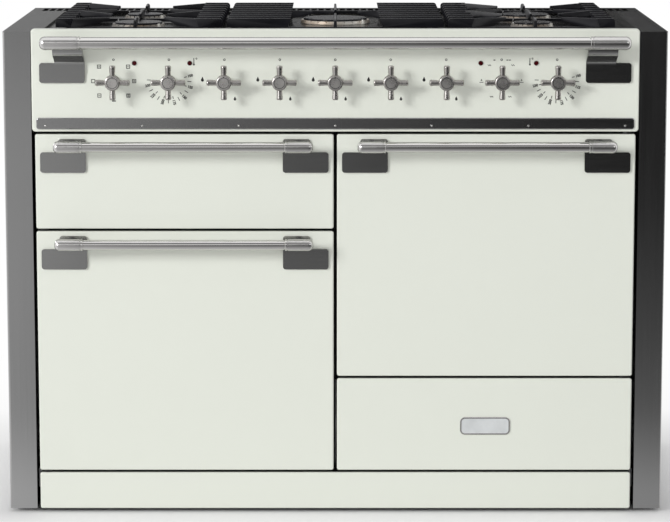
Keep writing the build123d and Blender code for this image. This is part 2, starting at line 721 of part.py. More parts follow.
def oven_fan(cx, cz):
    """A radial fan: hub, disc and straight blades."""
    back = OVEN_BACK - FAN_WALL_GAP
    fan = rod_back(cx, cz, back - FAN_HUB_LENGTH, back, FAN_HUB_RADIUS)
    fan += rod_back(cx, cz, back - FAN_DISC, back, FAN_RADIUS)
    blade = block(
        FAN_RADIUS - FAN_BLADE_LENGTH,
        FAN_RADIUS,
        back - FAN_DISC - FAN_BLADE_DEPTH,
        back - FAN_DISC,
        -FAN_DISC / 2,
        FAN_DISC / 2,
    )
    blades = [
        Pos(cx, 0, cz) * Rot(0, index * 360 / FAN_BLADE_COUNT, 0) * blade for index in range(FAN_BLADE_COUNT)
    ]
    bore = rod_back(cx, cz, back - FAN_HUB_LENGTH, back, SHAFT_RADIUS + RUNNING_CLEARANCE)
    return fan.fuse(*blades) - bore


# Wire shelves


def wire_loop(width, length, corner, z):
    """A closed loop of round wire, lying flat."""
    path = (Pos(0, 0, z) * RectangleRounded(width, length, corner)).wire()
    section = Plane(origin=path @ 0, z_dir=path % 0) * Circle(FRAME_WIRE_RADIUS)
    return sweep(section, path)


def wire_rack(width, length, wires):
    """A flat rack about the origin: a wire loop with cross wires welded into it."""
    loop = wire_loop(width, length, SHELF_CORNER, 0)
    pitch = width / (wires + 1)
    bars = []
    for index in range(wires):
        x = -width / 2 + (index + 1) * pitch
        bars.append(rod((x, -length / 2, 0), BACKWARD, length, CROSS_WIRE_RADIUS))
    return loop.fuse(*bars)


def ladder_span():
    """The front and back depth of the shelf ladders."""
    front = FRAME_BACK + LADDER_FRONT_GAP
    return front, OVEN_BACK - FAN_COVER_DEPTH - LADDER_FRONT_GAP / 2


def shelf_ladder(cx, z0):
    """The right ladder of an oven: rungs on two posts that are pegged to the wall."""
    x = cx + OVEN_HALF - LADDER_WALL_GAP - FRAME_WIRE_RADIUS
    front, back = ladder_span()
    rung_z = [z0 + LADDER_FIRST_RUNG + index * LADDER_PITCH for index in range(LADDER_RUNG_COUNT)]
    parts = [rod_back(x, z, front, back, FRAME_WIRE_RADIUS) for z in rung_z]
    for depth in (front + LADDER_POST_INSET, back - LADDER_POST_INSET):
        low = rung_z[0] - 2 * FRAME_WIRE_RADIUS
        high = rung_z[-1] + 2 * FRAME_WIRE_RADIUS
        parts.append(rod((x, y_at(depth), low), UPWARD, high - low, FRAME_WIRE_RADIUS))
        for z in (rung_z[0], rung_z[-1]):
            peg_length = LADDER_WALL_GAP + FRAME_WIRE_RADIUS
            parts.append(rod((x, y_at(depth), z), RIGHTWARD, peg_length, FRAME_WIRE_RADIUS))
    return parts[0].fuse(*parts[1:])


def oven_shelves():
    """Both ovens' wire shelves and the ladders they rest on."""
    front, back = ladder_span()
    width = OVEN_WIDTH - 2 * (LADDER_WALL_GAP + FRAME_WIRE_RADIUS)
    shelf = wire_rack(width, back - front, SHELF_WIRE_COUNT)
    pieces = []
    for cx, z0 in ((-COLUMN_X, LEFT_OVEN_BOTTOM), (COLUMN_X, RIGHT_OVEN_BOTTOM)):
        ladder = shelf_ladder(cx, z0)
        pieces += [ladder, mirrored(ladder, cx)]
        for rung in SHELF_RUNGS:
            z = z0 + LADDER_FIRST_RUNG + rung * LADDER_PITCH + 2 * FRAME_WIRE_RADIUS + WIRE_SEAT
            pieces.append(Pos(cx, y_at((front + back) / 2), z) * shelf)
    return group(*pieces)


# Doors


def door_liner(x0, x1, z0, z1, hinge_x):
    """The inner door: closing plate, raised plug and the two bored hinge blocks."""
    liner = inner_plate(x0, x1, z0, z1)
    i = PLUG_INSET
    liner += front_plate(x0 + i, x1 - i, z0 + i, z1 - i, PLATE_BACK, LINER_BACK, SKIN_CORNER)
    hollow = i + SHEET
    liner -= block(
        x0 + hollow, x1 - hollow, SKIN_BACK, LINER_BACK - SHEET, z0 + hollow, z1 - hollow
    )
    half = HINGE_BLOCK_WIDTH / 2
    front = HINGE_DEPTH - half
    room = SHEET + LINER_MARGIN
    for edge, inward in ((z1 - room, -1), (z0 + room, 1)):
        low, high = sorted((edge, edge + inward * HINGE_BLOCK_HEIGHT))
        liner += block(hinge_x - half, hinge_x + half, front, SKIN_BACK, low, high)
        bore_radius = HINGE_PIN_RADIUS + RUNNING_CLEARANCE
        mouth = (hinge_x, y_at(HINGE_DEPTH), edge)
        liner -= rod(mouth, (0, 0, inward), HINGE_BORE_DEPTH, bore_radius)
    return liner


def door_skin(x0, x1, z0, z1, hinge_x):
    """A door's painted pan, with a hole for the hinge pin at the top and at the bottom."""
    pan = skin(x0, x1, z0, z1)
    for z in (z0, z1 - SHEET):
        hole_start = (hinge_x, y_at(HINGE_DEPTH), z)
        pan -= rod(hole_start, UPWARD, SHEET, HINGE_PIN_RADIUS + LOOSE_CLEARANCE)
    return pan


def hinge_bracket(hinge_x, door_edge, inward):
    """A plate in the gap beside a door, with its pin into the door and its flange on the frame."""
    outward = -inward
    near = door_edge + outward * (ROW_GAP - HINGE_PLATE) / 2
    far = near + outward * HINGE_PLATE
    low, high = sorted((near, far))
    half = HINGE_ARM_WIDTH / 2
    arm = block(hinge_x - half, hinge_x + half, HINGE_DEPTH, FRAME_FRONT, low, high)
    arm += rod((hinge_x, y_at(HINGE_DEPTH), low), UPWARD, HINGE_PLATE, half)
    flange_low, flange_high = sorted((far, near + inward * HINGE_FLANGE_HEIGHT))
    arm += block(
        hinge_x - half,
        hinge_x + half,
        FRAME_FRONT - HINGE_PLATE,
        FRAME_FRONT,
        flange_low,
        flange_high,
    )
    pin_start = (hinge_x, y_at(HINGE_DEPTH), near)
    return arm + rod(pin_start, (0, 0, inward), HINGE_PIN_LENGTH, HINGE_PIN_RADIUS)


def hinge_brackets():
    """Two brackets for each oven door."""
    left = -DOOR_OUTER + HINGE_INSET
    right = DOOR_OUTER - HINGE_INSET
    return group(
        hinge_bracket(left, LEFT_DOOR_TOP, -1),
        hinge_bracket(left, ROWS_BOTTOM, 1),
        hinge_bracket(right, ROWS_TOP, -1),
        hinge_bracket(right, RIGHT_DOOR_BOTTOM, 1),
    )


# Glide-out grill and drawer


def runner(wall_x, inward, z, depth, height, d0, d1):
    """A channel on a wall, open towards the drawer or carriage."""
    x0, x1 = sorted((wall_x, wall_x + inward * depth))
    channel = block(x0, x1, d0, d1, z - height / 2, z + height / 2)
    h0, h1 = sorted((wall_x + inward * SHEET, wall_x + inward * depth))
    return channel - block(h0, h1, d0, d1, z - height / 2 + SHEET, z + height / 2 - SHEET)


def runner_bar(wall_x, inward, inner_x, z, height, d0, d1):
    """The bar that slides in a runner, reaching in to what it carries."""
    x0, x1 = sorted((wall_x + inward * (SHEET + RUNNER_CLEARANCE), inner_x))
    half = height / 2 - SHEET - RUNNER_CLEARANCE
    return block(x0, x1, d0, d1, z - half, z + half)


def grill_walls():
    """The X of the grill cavity's side walls, each with the way in from it."""
    return ((-COLUMN_X - OVEN_HALF, 1), (-COLUMN_X + OVEN_HALF, -1))


def drawer_walls():
    """The X of the walls beside the drawer, each with the way in from it."""
    return ((PARTITION / 2, 1), (WALL_FACE, -1))


def slide_runners():
    """The fixed runners of the grill and of the drawer."""
    runners = []
    for wall, inward in grill_walls():
        runners.append(
            runner(
                wall,
                inward,
                GRILL_RUNNER_Z,
                GRILL_RUNNER_DEPTH,
                GRILL_RUNNER_HEIGHT,
                FRAME_BACK,
                GRILL_RUNNER_END,
            )
        )
    for wall, inward in drawer_walls():
        runners.append(
            runner(
                wall,
                inward,
                DRAWER_RUNNER_Z,
                DRAWER_RUNNER_DEPTH,
                DRAWER_RUNNER_HEIGHT,
                FRAME_BACK,
                DRAWER_BOX_BACK,
            )
        )
    return group(*runners)


def grill_ledge_top():
    """The height of the ledges that carry the grill pan."""
    return GRILL_RUNNER_Z - GRILL_RUNNER_HEIGHT / 2 + SHEET + RUNNER_CLEARANCE + GRILL_LEDGE


def grill_carriage():
    """The closing plate of the grill front with its two slides, their ledges and the rear cross bar."""
    carriage = inner_plate(-DOOR_OUTER, -DOOR_INNER, GRILL_BOTTOM, ROWS_TOP)
    end = GRILL_RUNNER_END
    top = grill_ledge_top()
    half = GRILL_RUNNER_HEIGHT / 2 - SHEET - RUNNER_CLEARANCE
    for wall, inward in grill_walls():
        face = wall + inward * GRILL_RUNNER_DEPTH
        carriage += runner_bar(
            wall, inward, face, GRILL_RUNNER_Z, GRILL_RUNNER_HEIGHT, PLATE_BACK, end
        )
        x0, x1 = sorted((face, face + inward * GRILL_LEDGE_WIDTH))
        carriage += block(x0, x1, PLATE_BACK, end, top - GRILL_LEDGE, top)
    carriage += block(
        -COLUMN_X - OVEN_HALF + GRILL_RUNNER_DEPTH,
        -COLUMN_X + OVEN_HALF - GRILL_RUNNER_DEPTH,
        end - GRILL_CROSS_BAR,
        end,
        GRILL_RUNNER_Z - half,
        GRILL_RUNNER_Z + half,
    )
    return carriage


def grill_pan():
    """The enamelled pan that hangs by its flange on the ledges, with a wire trivet in it."""
    top = grill_ledge_top()
    flange_half = OVEN_HALF - GRILL_RUNNER_DEPTH - LOOSE_CLEARANCE
    half = OVEN_HALF - GRILL_RUNNER_DEPTH - GRILL_LEDGE_WIDTH - LOOSE_CLEARANCE
    front = GRILL_PAN_FRONT
    back = GRILL_PAN_BACK
    bottom = top - GRILL_PAN_HEIGHT
    cx = -COLUMN_X
    pan = block(cx - half, cx + half, front, back, bottom, top)
    pan = fillet(pan.edges().filter_by(Axis.Z), GRILL_PAN_FLANGE / 2)
    pan += block(cx - flange_half, cx + flange_half, front, back, top, top + SHEET)
    hollow = block(
        cx - half + SHEET, cx + half - SHEET, front + SHEET, back - SHEET, bottom + SHEET, top + SHEET
    )
    pan -= fillet(hollow.edges().filter_by(Axis.Z), GRILL_PAN_FLANGE / 2 - SHEET)
    width = 2 * (half - SHEET - TRIVET_MARGIN)
    length = back - front - 2 * (SHEET + TRIVET_MARGIN)
    rack_z = bottom + SHEET + WIRE_SEAT + TRIVET_LEG + FRAME_WIRE_RADIUS
    mid = (front + back) / 2
    trivet = Pos(cx, y_at(mid), rack_z) * wire_rack(width, length, TRIVET_WIRE_COUNT)
    legs = []
    for sx in (-1, 1):
        for sy in (-1, 1):
            start = (
                cx + sx * width / 2,
                y_at(mid + sy * length / 4),
                bottom + SHEET + WIRE_SEAT,
            )
            legs.append(rod(start, UPWARD, TRIVET_LEG + FRAME_WIRE_RADIUS, CROSS_WIRE_RADIUS))
    return group(pan, trivet.fuse(*legs))


def drawer_box():
    """The closing plate of the drawer front, the sheets of the box behind it and its two slides."""
    reach = DRAWER_RUNNER_DEPTH + SHEET
    x0 = PARTITION / 2 + reach
    x1 = WALL_FACE - reach
    z0 = ROWS_BOTTOM + DRAWER_BOX_RISE
    z1 = z0 + DRAWER_BOX_HEIGHT
    wall_z = z0 + SHEET
    end = DRAWER_BOX_BACK
    pieces = [
        inner_plate(DOOR_INNER, DOOR_OUTER, ROWS_BOTTOM, DRAWER_TOP),
        block(x0, x1, PLATE_BACK, end, z0, wall_z),
        block(x0, x1, end - SHEET, end, wall_z, z1),
    ]
    for (wall, inward), side in zip(drawer_walls(), (x0, x1)):
        near, far = sorted((side, side + inward * SHEET))
        pieces.append(block(near, far, PLATE_BACK, end - SHEET, wall_z, z1))
        pieces.append(
            runner_bar(wall, inward, side, DRAWER_RUNNER_Z, DRAWER_RUNNER_HEIGHT, PLATE_BACK, end)
        )
    return group(*pieces)


# Handles


def end_cap(origin, direction, radius, length):
    """A bullet-nosed cap with a fine groove where it meets the bar."""
    outline = Polygon(
        (0, 0),
        (radius - CAP_GROOVE, 0),
        (radius - CAP_GROOVE, CAP_GROOVE),
        (radius, 2 * CAP_GROOVE),
        (radius, length),
        (0, length),
        align=None,
    )
    nose = outer_corner(outline)
    return turned(fillet(nose, radius * CAP_NOSE_SHARE), origin, direction)


def bar_with_caps(cx, depth, z, length, bar_radius, cap_radius, cap_length):
    """A round bar between two end caps."""
    half = length / 2 - cap_length
    bar = rod((cx - half, y_at(depth), z), RIGHTWARD, 2 * half, bar_radius)
    cap = end_cap((cx + half, y_at(depth), z), RIGHTWARD, cap_radius, cap_length)
    return group(bar, cap, mirrored(cap, cx))


def door_handle(cx, door_top):
    """A door's handle bar."""
    return bar_with_caps(
        cx,
        DOOR_FRONT - HANDLE_STANDOFF,
        door_top - HANDLE_DROP,
        HANDLE_LENGTH,
        HANDLE_BAR_RADIUS,
        HANDLE_CAP_RADIUS,
        HANDLE_CAP_LENGTH,
    )


def door_handle_brackets(cx, door_top):
    """The plates that carry a door's handle: each has a neck behind the cap and a post into it."""
    outer = cx + HANDLE_LENGTH / 2 + HANDLE_BRACKET_OVERHANG
    inner = outer - HANDLE_BRACKET_WIDTH
    top = door_top - HANDLE_BRACKET_DROP
    bottom = top - HANDLE_BRACKET_HEIGHT
    face = DOOR_FRONT - BRACKET_PLATE
    plate = front_plate(inner, outer, bottom, top, face, DOOR_FRONT, BRACKET_CORNER)
    neck_top = door_top - HANDLE_NECK_DROP
    plate += front_plate(
        inner, inner + HANDLE_NECK_WIDTH, bottom, neck_top, face, DOOR_FRONT, BRACKET_CORNER
    )
    axis_z = door_top - HANDLE_DROP
    axis_depth = DOOR_FRONT - HANDLE_STANDOFF
    post_x = cx + HANDLE_LENGTH / 2 - HANDLE_CAP_LENGTH / 2
    plate += rod_back(post_x, axis_z, axis_depth, DOOR_FRONT, HANDLE_POST_RADIUS)
    clear = HANDLE_CAP_RADIUS + BRACKET_SEAT
    plate -= rod((inner, y_at(axis_depth), axis_z), RIGHTWARD, HANDLE_BRACKET_WIDTH, clear)
    return group(plate, mirrored(plate, cx))


def handrail():
    """The rail along the fascia."""
    return bar_with_caps(
        0.0,
        DOOR_FRONT - RAIL_STANDOFF,
        RAIL_Z,
        RAIL_LENGTH,
        RAIL_BAR_RADIUS,
        RAIL_CAP_RADIUS,
        RAIL_CAP_LENGTH,
    )


def handrail_brackets():
    """The plates that carry the rail, each with a neck that bends forward and up to it."""
    outer = RAIL_LENGTH / 2 + RAIL_BRACKET_OVERHANG
    inner = outer - RAIL_BRACKET_WIDTH
    top = FASCIA_TOP - RAIL_BRACKET_DROP
    bottom = top - RAIL_BRACKET_HEIGHT
    plate = front_plate(
        inner, outer, bottom, top, DOOR_FRONT - BRACKET_PLATE, DOOR_FRONT, BRACKET_CORNER
    )
    near = y_at(DOOR_FRONT - RAIL_NECK_THICKNESS / 2)
    ahead = y_at(DOOR_FRONT - RAIL_STANDOFF)
    line = FilletPolyline(
        (near, top - RAIL_BRACKET_HEIGHT / 2),
        (near, FASCIA_TOP - RAIL_NECK_LOW_BEND),
        (ahead, FASCIA_TOP - RAIL_NECK_HIGH_BEND),
        (ahead, RAIL_Z),
        radius=RAIL_NECK_BEND_RADIUS,
    )
    section = trace(line, RAIL_NECK_THICKNESS)
    plate += extrude(Plane.YZ.offset(inner) * section, RAIL_NECK_WIDTH)
    clear = RAIL_CAP_RADIUS + BRACKET_SEAT
    plate -= rod((inner, ahead, RAIL_Z), RIGHTWARD, RAIL_BRACKET_WIDTH, clear)
    return group(plate, mirrored(plate))


# Fascia and controls


def knob_x(index):
    """The X of a knob, counted from the left."""
    return (index - (KNOB_COUNT - 1) / 2) * KNOB_PITCH


def lens_xs():
    """The X of each indicator lens, beside the knob that it belongs to."""
    return [knob_x(index) + side * LENS_KNOB_OFFSET for index, side in LENS_KNOBS]


def fascia_panel():
    """The painted control panel, folded back to the frame, with holes for spindles and lenses."""
    half = INNER_HALF - FASCIA_SIDE_GAP
    outer = front_plate(-half, half, FASCIA_BOTTOM, FASCIA_TOP, DOOR_FRONT, FRAME_FRONT, FASCIA_CORNER)
    outer = fillet(front_edges(outer), SKIN_EDGE)
    panel = outer - block(
        -half + SHEET,
        half - SHEET,
        DOOR_FRONT + SHEET,
        FRAME_FRONT,
        FASCIA_BOTTOM + SHEET,
        FASCIA_TOP - SHEET,
    )
    panel -= block(-half, half, FASCIA_TOP_DEPTH, FRAME_FRONT, HOB_BOTTOM, FASCIA_TOP)
    holes = [
        rod_back(knob_x(index), KNOB_Z, DOOR_FRONT, DOOR_FRONT + SHEET, SPINDLE_HOLE_RADIUS)
        for index in range(KNOB_COUNT)
    ]
    for x in lens_xs():
        z = FASCIA_BOTTOM + LENS_RISE
        holes.append(rod_back(x, z, DOOR_FRONT, DOOR_FRONT + SHEET, LENS_RADIUS + BRACKET_SEAT))
    return panel - holes


def fascia_trim_strip():
    """The dark strip along the bottom of the fascia, with a soft top edge."""
    half = INNER_HALF - STRIP_SIDE_GAP
    low = FASCIA_BOTTOM + STRIP_RISE
    strip = front_plate(
        -half, half, low, low + STRIP_HEIGHT, DOOR_FRONT - STRIP_THICKNESS, DOOR_FRONT, STRIP_CORNER
    )
    return fillet(front_edges(strip), STRIP_EDGE)


def indicator_lens(x):
    """A small domed lens through the fascia."""
    dome = FilletPolyline(
        (LENS_FLANGE_RADIUS, LENS_FLANGE),
        (LENS_FLANGE_RADIUS - LENS_DOME / 2, LENS_FLANGE + LENS_DOME),
        (0, LENS_FLANGE + LENS_DOME),
        radius=LENS_DOME / 2,
    )
    outline = dome + Polyline(
        (0, LENS_FLANGE + LENS_DOME),
        (0, -LENS_BODY_LENGTH),
        (LENS_RADIUS, -LENS_BODY_LENGTH),
        (LENS_RADIUS, 0),
        (LENS_FLANGE_RADIUS, 0),
        (LENS_FLANGE_RADIUS, LENS_FLANGE),
    )
    origin = (x, y_at(DOOR_FRONT), FASCIA_BOTTOM + LENS_RISE)
    return turned(make_face(outline), origin, FORWARD)


def knob_shape():
    """A cross-handle knob at the origin: neck, hub with an engraved ring, and four flared arms."""
    hub = Polygon(
        (0, KNOB_PANEL_GAP),
        (KNOB_NECK_RADIUS, KNOB_PANEL_GAP),
        (KNOB_NECK_RADIUS, KNOB_NECK_FRONT),
        (KNOB_HUB_RADIUS, KNOB_HUB_BACK),
        (KNOB_HUB_RADIUS, KNOB_HUB_FRONT),
        (0, KNOB_HUB_FRONT),
        align=None,
    )
    hub = fillet(outer_corner(hub), KNOB_HUB_EDGE)
    ring_x = KNOB_RING_RADIUS - KNOB_RING_WIDTH / 2
    ring_y = KNOB_HUB_FRONT - KNOB_RING_DEPTH
    hub -= Pos(ring_x, ring_y) * Rectangle(
        KNOB_RING_WIDTH, KNOB_RING_DEPTH, align=(Align.MIN, Align.MIN)
    )
    knob = turned(hub, (0, 0, 0), FORWARD)
    arm = Polygon(
        (0, 0),
        (KNOB_ARM_ROOT_RADIUS, 0),
        (KNOB_ARM_ROOT_RADIUS, KNOB_HUB_RADIUS - KNOB_HUB_EDGE),
        (KNOB_ARM_TIP_RADIUS, KNOB_ARM_REACH),
        (0, KNOB_ARM_REACH),
        align=None,
    )
    arm = fillet(outer_corner(arm), KNOB_ARM_TIP_RADIUS / 2)
    arm = turned(arm, (0, -KNOB_ARM_AHEAD, 0), RIGHTWARD)
    arms = [Rot(0, quarter * 90, 0) * arm for quarter in range(4)]
    bore_length = SPINDLE_AHEAD + SPINDLE_END_ROOM - KNOB_PANEL_GAP
    bore = rod((0, -KNOB_PANEL_GAP, 0), FORWARD, bore_length, SPINDLE_RADIUS + RUNNING_CLEARANCE)
    return knob.fuse(*arms) - bore


def gas_spindle(x):
    """A valve spindle that a gas knob turns on and pushes in."""
    start = DOOR_FRONT - SPINDLE_AHEAD
    return rod_back(x, KNOB_Z, start, DOOR_FRONT + SHEET + SPINDLE_IN_VALVE, SPINDLE_RADIUS)


def gas_valve(x):
    """A gas valve behind the fascia, bored for its spindle and its push travel."""
    nose = DOOR_FRONT + SHEET
    front = nose + VALVE_NOSE_LENGTH
    half = VALVE_WIDTH / 2
    valve = block(
        x - half, x + half, front, front + VALVE_LENGTH, KNOB_Z - VALVE_BELOW, KNOB_Z + VALVE_ABOVE
    )
    valve += rod_back(x, KNOB_Z, nose, front, VALVE_NOSE_RADIUS)
    bore_end = nose + SPINDLE_IN_VALVE + PUSH_TRAVEL + SPINDLE_END_ROOM
    return valve - rod_back(x, KNOB_Z, nose, bore_end, SPINDLE_RADIUS + RUNNING_CLEARANCE)


def valve_middle():
    """The depth of the middle of the gas valves."""
    return DOOR_FRONT + SHEET + VALVE_NOSE_LENGTH + VALVE_LENGTH / 2


def burners():
    """Each burner's (x, depth, radius), in the order of the gas knobs."""
    return (
        (-SIDE_BURNER_X, FRONT_BURNER_DEPTH, LARGE_BURNER_RADIUS),
        (-SIDE_BURNER_X, BACK_BURNER_DEPTH, SMALL_BURNER_RADIUS),
        (0.0, CENTRE_BURNER_DEPTH, CENTRE_BURNER_RADIUS),
        (SIDE_BURNER_X, BACK_BURNER_DEPTH, LARGE_BURNER_RADIUS),
        (SIDE_BURNER_X, FRONT_BURNER_DEPTH, SMALL_BURNER_RADIUS),
    )


def burner_seat():
    """The height of the dishes that the burners stand on."""
    return DECK_TOP + BURNER_DISH_HEIGHT


def burner_pipe(valve_x, burner):
    """The pipe from a valve's top to the underside of its burner."""
    x, depth, _ = burner
    start_z = KNOB_Z + VALVE_ABOVE
    run_z = start_z + PIPE_RISE
    end_z = burner_seat() - BURNER_SPIGOT_LENGTH
    points = [
        (valve_x, y_at(valve_middle()), start_z),
        (valve_x, y_at(valve_middle()), run_z),
        (x, y_at(depth), run_z),
        (x, y_at(depth), end_z),
    ]
    path = FilletPolyline(*points, radius=PIPE_BEND)
    return sweep(Plane(origin=path @ 0, z_dir=path % 0) * Circle(PIPE_RADIUS), path)


def gas_rail():
    """Manifold with its feed and inlet socket, five valves and five burner pipes."""
    depth = valve_middle()
    end_x = gas_inlet_x()
    socket_back = BODY_DEPTH - GAS_INLET_RECESS
    socket_front = socket_back - 2 * GAS_INLET_LENGTH
    path = FilletPolyline(
        (knob_x(GAS_KNOBS[0]) - MANIFOLD_OVERRUN, y_at(depth), MANIFOLD_Z),
        (end_x, y_at(depth), MANIFOLD_Z),
        (end_x, y_at(socket_front), MANIFOLD_Z),
        radius=MANIFOLD_BEND,
    )
    manifold = sweep(Plane(origin=path @ 0, z_dir=path % 0) * Circle(MANIFOLD_RADIUS), path)
    socket = rod_back(end_x, MANIFOLD_Z, socket_front, socket_back, GAS_INLET_OUTER_RADIUS)
    bore_front = socket_back - GAS_INLET_LENGTH
    socket -= rod_back(end_x, MANIFOLD_Z, bore_front, socket_back, GAS_INLET_RADIUS)
    valves = [gas_valve(knob_x(index)) for index in GAS_KNOBS]
    pipes = [burner_pipe(knob_x(index), burner) for index, burner in zip(GAS_KNOBS, burners())]
    return group(manifold, socket, *valves, *pipes)


def oven_control(x):
    """A thermostat or switch behind the fascia, with the spindle that its knob turns on."""
    nose = DOOR_FRONT + SHEET
    front = nose + VALVE_NOSE_LENGTH
    half = CONTROL_SIZE / 2
    control = block(x - half, x + half, front, front + CONTROL_LENGTH, KNOB_Z - half, KNOB_Z + half)
    control += rod_back(x, KNOB_Z, nose, front, VALVE_NOSE_RADIUS)
    return control + rod_back(x, KNOB_Z, DOOR_FRONT - SPINDLE_AHEAD, nose, SPINDLE_RADIUS)


# Hob


def hob_tray():
    """The pressed hob deck: rim, lowered deck and a raised dish with a hole at each burner."""
    tray = block(-INNER_HALF, INNER_HALF, HOB_FRONT, VENT_FRONT, HOB_BOTTOM, SIDE_TOP)
    side = INNER_HALF - HOB_RIM_SIDE
    tray -= block(-side, side, HOB_FRONT + HOB_RIM_FRONT, VENT_FRONT - HOB_RIM_BACK, DECK_TOP, SIDE_TOP)
    tray -= block(
        -WALL_FACE, WALL_FACE, HOB_FRONT + SHEET, VENT_FRONT - SHEET, HOB_BOTTOM, DECK_TOP - SHEET
    )
    dishes = []
    holes = []
    for x, depth, radius in burners():
        top_radius = BURNER_DISH_RADIUS - BURNER_DISH_SLOPE
        dish = Cone(BURNER_DISH_RADIUS, top_radius, BURNER_DISH_HEIGHT, align=FROM_START)
        dishes.append(Pos(x, y_at(depth), DECK_TOP) * dish)
        hole_radius = radius - BURNER_SPIGOT_INSET + LOOSE_CLEARANCE
        hole_start = (x, y_at(depth), DECK_TOP - SHEET)
        holes.append(rod(hole_start, UPWARD, SHEET + BURNER_DISH_HEIGHT, hole_radius))
    return tray.fuse(*dishes) - holes


def rear_vent_trim():
    """The slotted flue vent across the back."""
    half = OVERALL_WIDTH / 2
    trim = block(-half, half, VENT_FRONT, BODY_DEPTH, HOB_BOTTOM, SIDE_TOP)
    trim -= block(
        -half + SHEET,
        half - SHEET,
        VENT_FRONT + SHEET,
        BODY_DEPTH - SHEET,
        HOB_BOTTOM,
        SIDE_TOP - SHEET,
    )
    count = int((OVERALL_WIDTH - 2 * VENT_END_MARGIN) / VENT_SLOT_PITCH)
    first = -(count - 1) * VENT_SLOT_PITCH / 2
    start = VENT_FRONT + VENT_SLOT_FRONT
    slots = []
    for index in range(count):
        x = first + index * VENT_SLOT_PITCH
        slots.append(
            block(
                x - VENT_SLOT_WIDTH / 2,
                x + VENT_SLOT_WIDTH / 2,
                start,
                start + VENT_SLOT_LENGTH,
                SIDE_TOP - SHEET,
                SIDE_TOP,
            )
        )
    return trim - slots


def burner_head(x, depth, radius):
    """An aluminium burner head with a spigot through the deck and flame ports around its edge."""
    spigot = radius - BURNER_SPIGOT_INSET
    outline = Polygon(
        (0, -BURNER_SPIGOT_LENGTH),
        (spigot, -BURNER_SPIGOT_LENGTH),
        (spigot, 0),
        (radius, 0),
        (radius - BURNER_PORT_WIDTH, BURNER_HEAD_HEIGHT),
        (0, BURNER_HEAD_HEIGHT),
        align=None,
    )
    origin = (x, y_at(depth), burner_seat())
    head = turned(outline, origin, UPWARD)
    port = Pos(radius - BURNER_PORT_DEPTH, 0, BURNER_HEAD_HEIGHT - BURNER_PORT_HEIGHT) * Box(
        2 * BURNER_PORT_DEPTH,
        BURNER_PORT_WIDTH,
        BURNER_PORT_HEIGHT,
        align=(Align.MIN, Align.CENTER, Align.MIN),
    )
    ports = [
        Pos(*origin) * Rot(0, 0, index * 360 / BURNER_PORT_COUNT) * port for index in range(BURNER_PORT_COUNT)
    ]
    return head - ports


def burner_cap(x, depth, radius):
    """A round burner cap with a soft edge."""
    cap_radius = radius - BURNER_CAP_INSET
    outline = Polygon(
        (0, 0), (cap_radius, 0), (cap_radius, BURNER_CAP_HEIGHT), (0, BURNER_CAP_HEIGHT), align=None
    )
    outline = fillet(outer_corner(outline), BURNER_CAP_EDGE)
    origin = (x, y_at(depth), burner_seat() + BURNER_HEAD_HEIGHT)
    return turned(outline, origin, UPWARD)


# Pan supports


def bar_depth(index):
    """The depth of a pan support bar, counted from the front."""
    return GRATE_FRONT_DEPTH + index * GRATE_BAR_PITCH


def grate_z(height):
    """A height above the hob deck."""
    return DECK_TOP + height


def rack(x_round, x_inner):
    """The row of short bars along one side of a pan support, rounded at its outer top corners."""
    low = grate_z(GRATE_UNDERSIDE)
    high = grate_z(GRATE_TOP)
    shift = GRATE_BAR_ROUNDING if x_inner > x_round else -GRATE_BAR_ROUNDING
    outline = FilletPolyline(
        (x_inner, high), (x_round, high), (x_round, low), radius=GRATE_BAR_ROUNDING
    ) + Polyline((x_round, low), (x_inner - shift, low), (x_inner, high))
    face = make_face(outline)
    half = GRATE_BAR_THICKNESS / 2
    return [
        extrude(Plane.XZ.offset(-y_at(bar_depth(index) + half)) * face, GRATE_BAR_THICKNESS)
        for index in range(GRATE_BAR_COUNT)
    ]


def grate_rail(x):
    """A front-to-back rail under a rack's bars, with a foot at each end and in the middle."""
    half = GRATE_RAIL_WIDTH / 2
    front = bar_depth(0) - GRATE_BAR_THICKNESS / 2
    back = bar_depth(GRATE_BAR_COUNT - 1) + GRATE_BAR_THICKNESS / 2
    low = grate_z(GRATE_UNDERSIDE)
    rail = block(x - half, x + half, front, back, low, grate_z(GRATE_RAIL_TOP))
    for start in (front, (front + back - GRATE_FOOT) / 2, back - GRATE_FOOT):
        rail += block(x - half, x + half, start, start + GRATE_FOOT, grate_z(GRATE_FOOT_GAP), low)
    return rail


def cross_bar(x0, x1, index):
    """A low bar across a pan support, at one of its bar positions."""
    half = GRATE_BAR_THICKNESS / 2
    depth = bar_depth(index)
    return block(x0, x1, depth - half, depth + half, grate_z(CROSS_BAR_LOW), grate_z(CROSS_BAR_TOP))


def tapered_blade(points, start, along):
    """A blade from a plan point, cut from (distance, height) points and thinner at its top."""
    origin = (*start, DECK_TOP)
    along = Vector(*along, 0).normalized()
    across = along.cross(Vector(*UPWARD))
    side = Plane(origin=origin, x_dir=along, z_dir=across) * Polygon(*points, align=None)
    reach = max(distance for distance, height in points)
    low = (FINGER_THICKNESS / 2, 0)
    high = (FINGER_TOP_EDGE / 2, GRATE_TOP)
    section = Polygon((-low[0], low[1]), low, high, (-high[0], high[1]), align=None)
    prism = extrude(Plane(origin=origin, x_dir=across, z_dir=-along) * section, reach, both=True)
    return extrude(side, FINGER_THICKNESS, both=True) & prism


def finger(start, centre, clear):
    """A level finger from a rack towards a burner's centre, cut away underneath towards its tip."""
    run = (centre[0] - start[0], centre[1] - start[1])
    length = hypot(*run) - clear
    top = GRATE_TOP - FINGER_STEP
    foot = GRATE_UNDERSIDE + FINGER_STEP
    tip = top - FINGER_TIP_DROP
    points = [
        (0, foot),
        (0, top),
        (FINGER_RISE_LENGTH, top),
        (length, tip),
        (length, tip - FINGER_TIP_HEIGHT),
        (length - FINGER_CUT_LENGTH, foot),
    ]
    return tapered_blade(points, start, run)


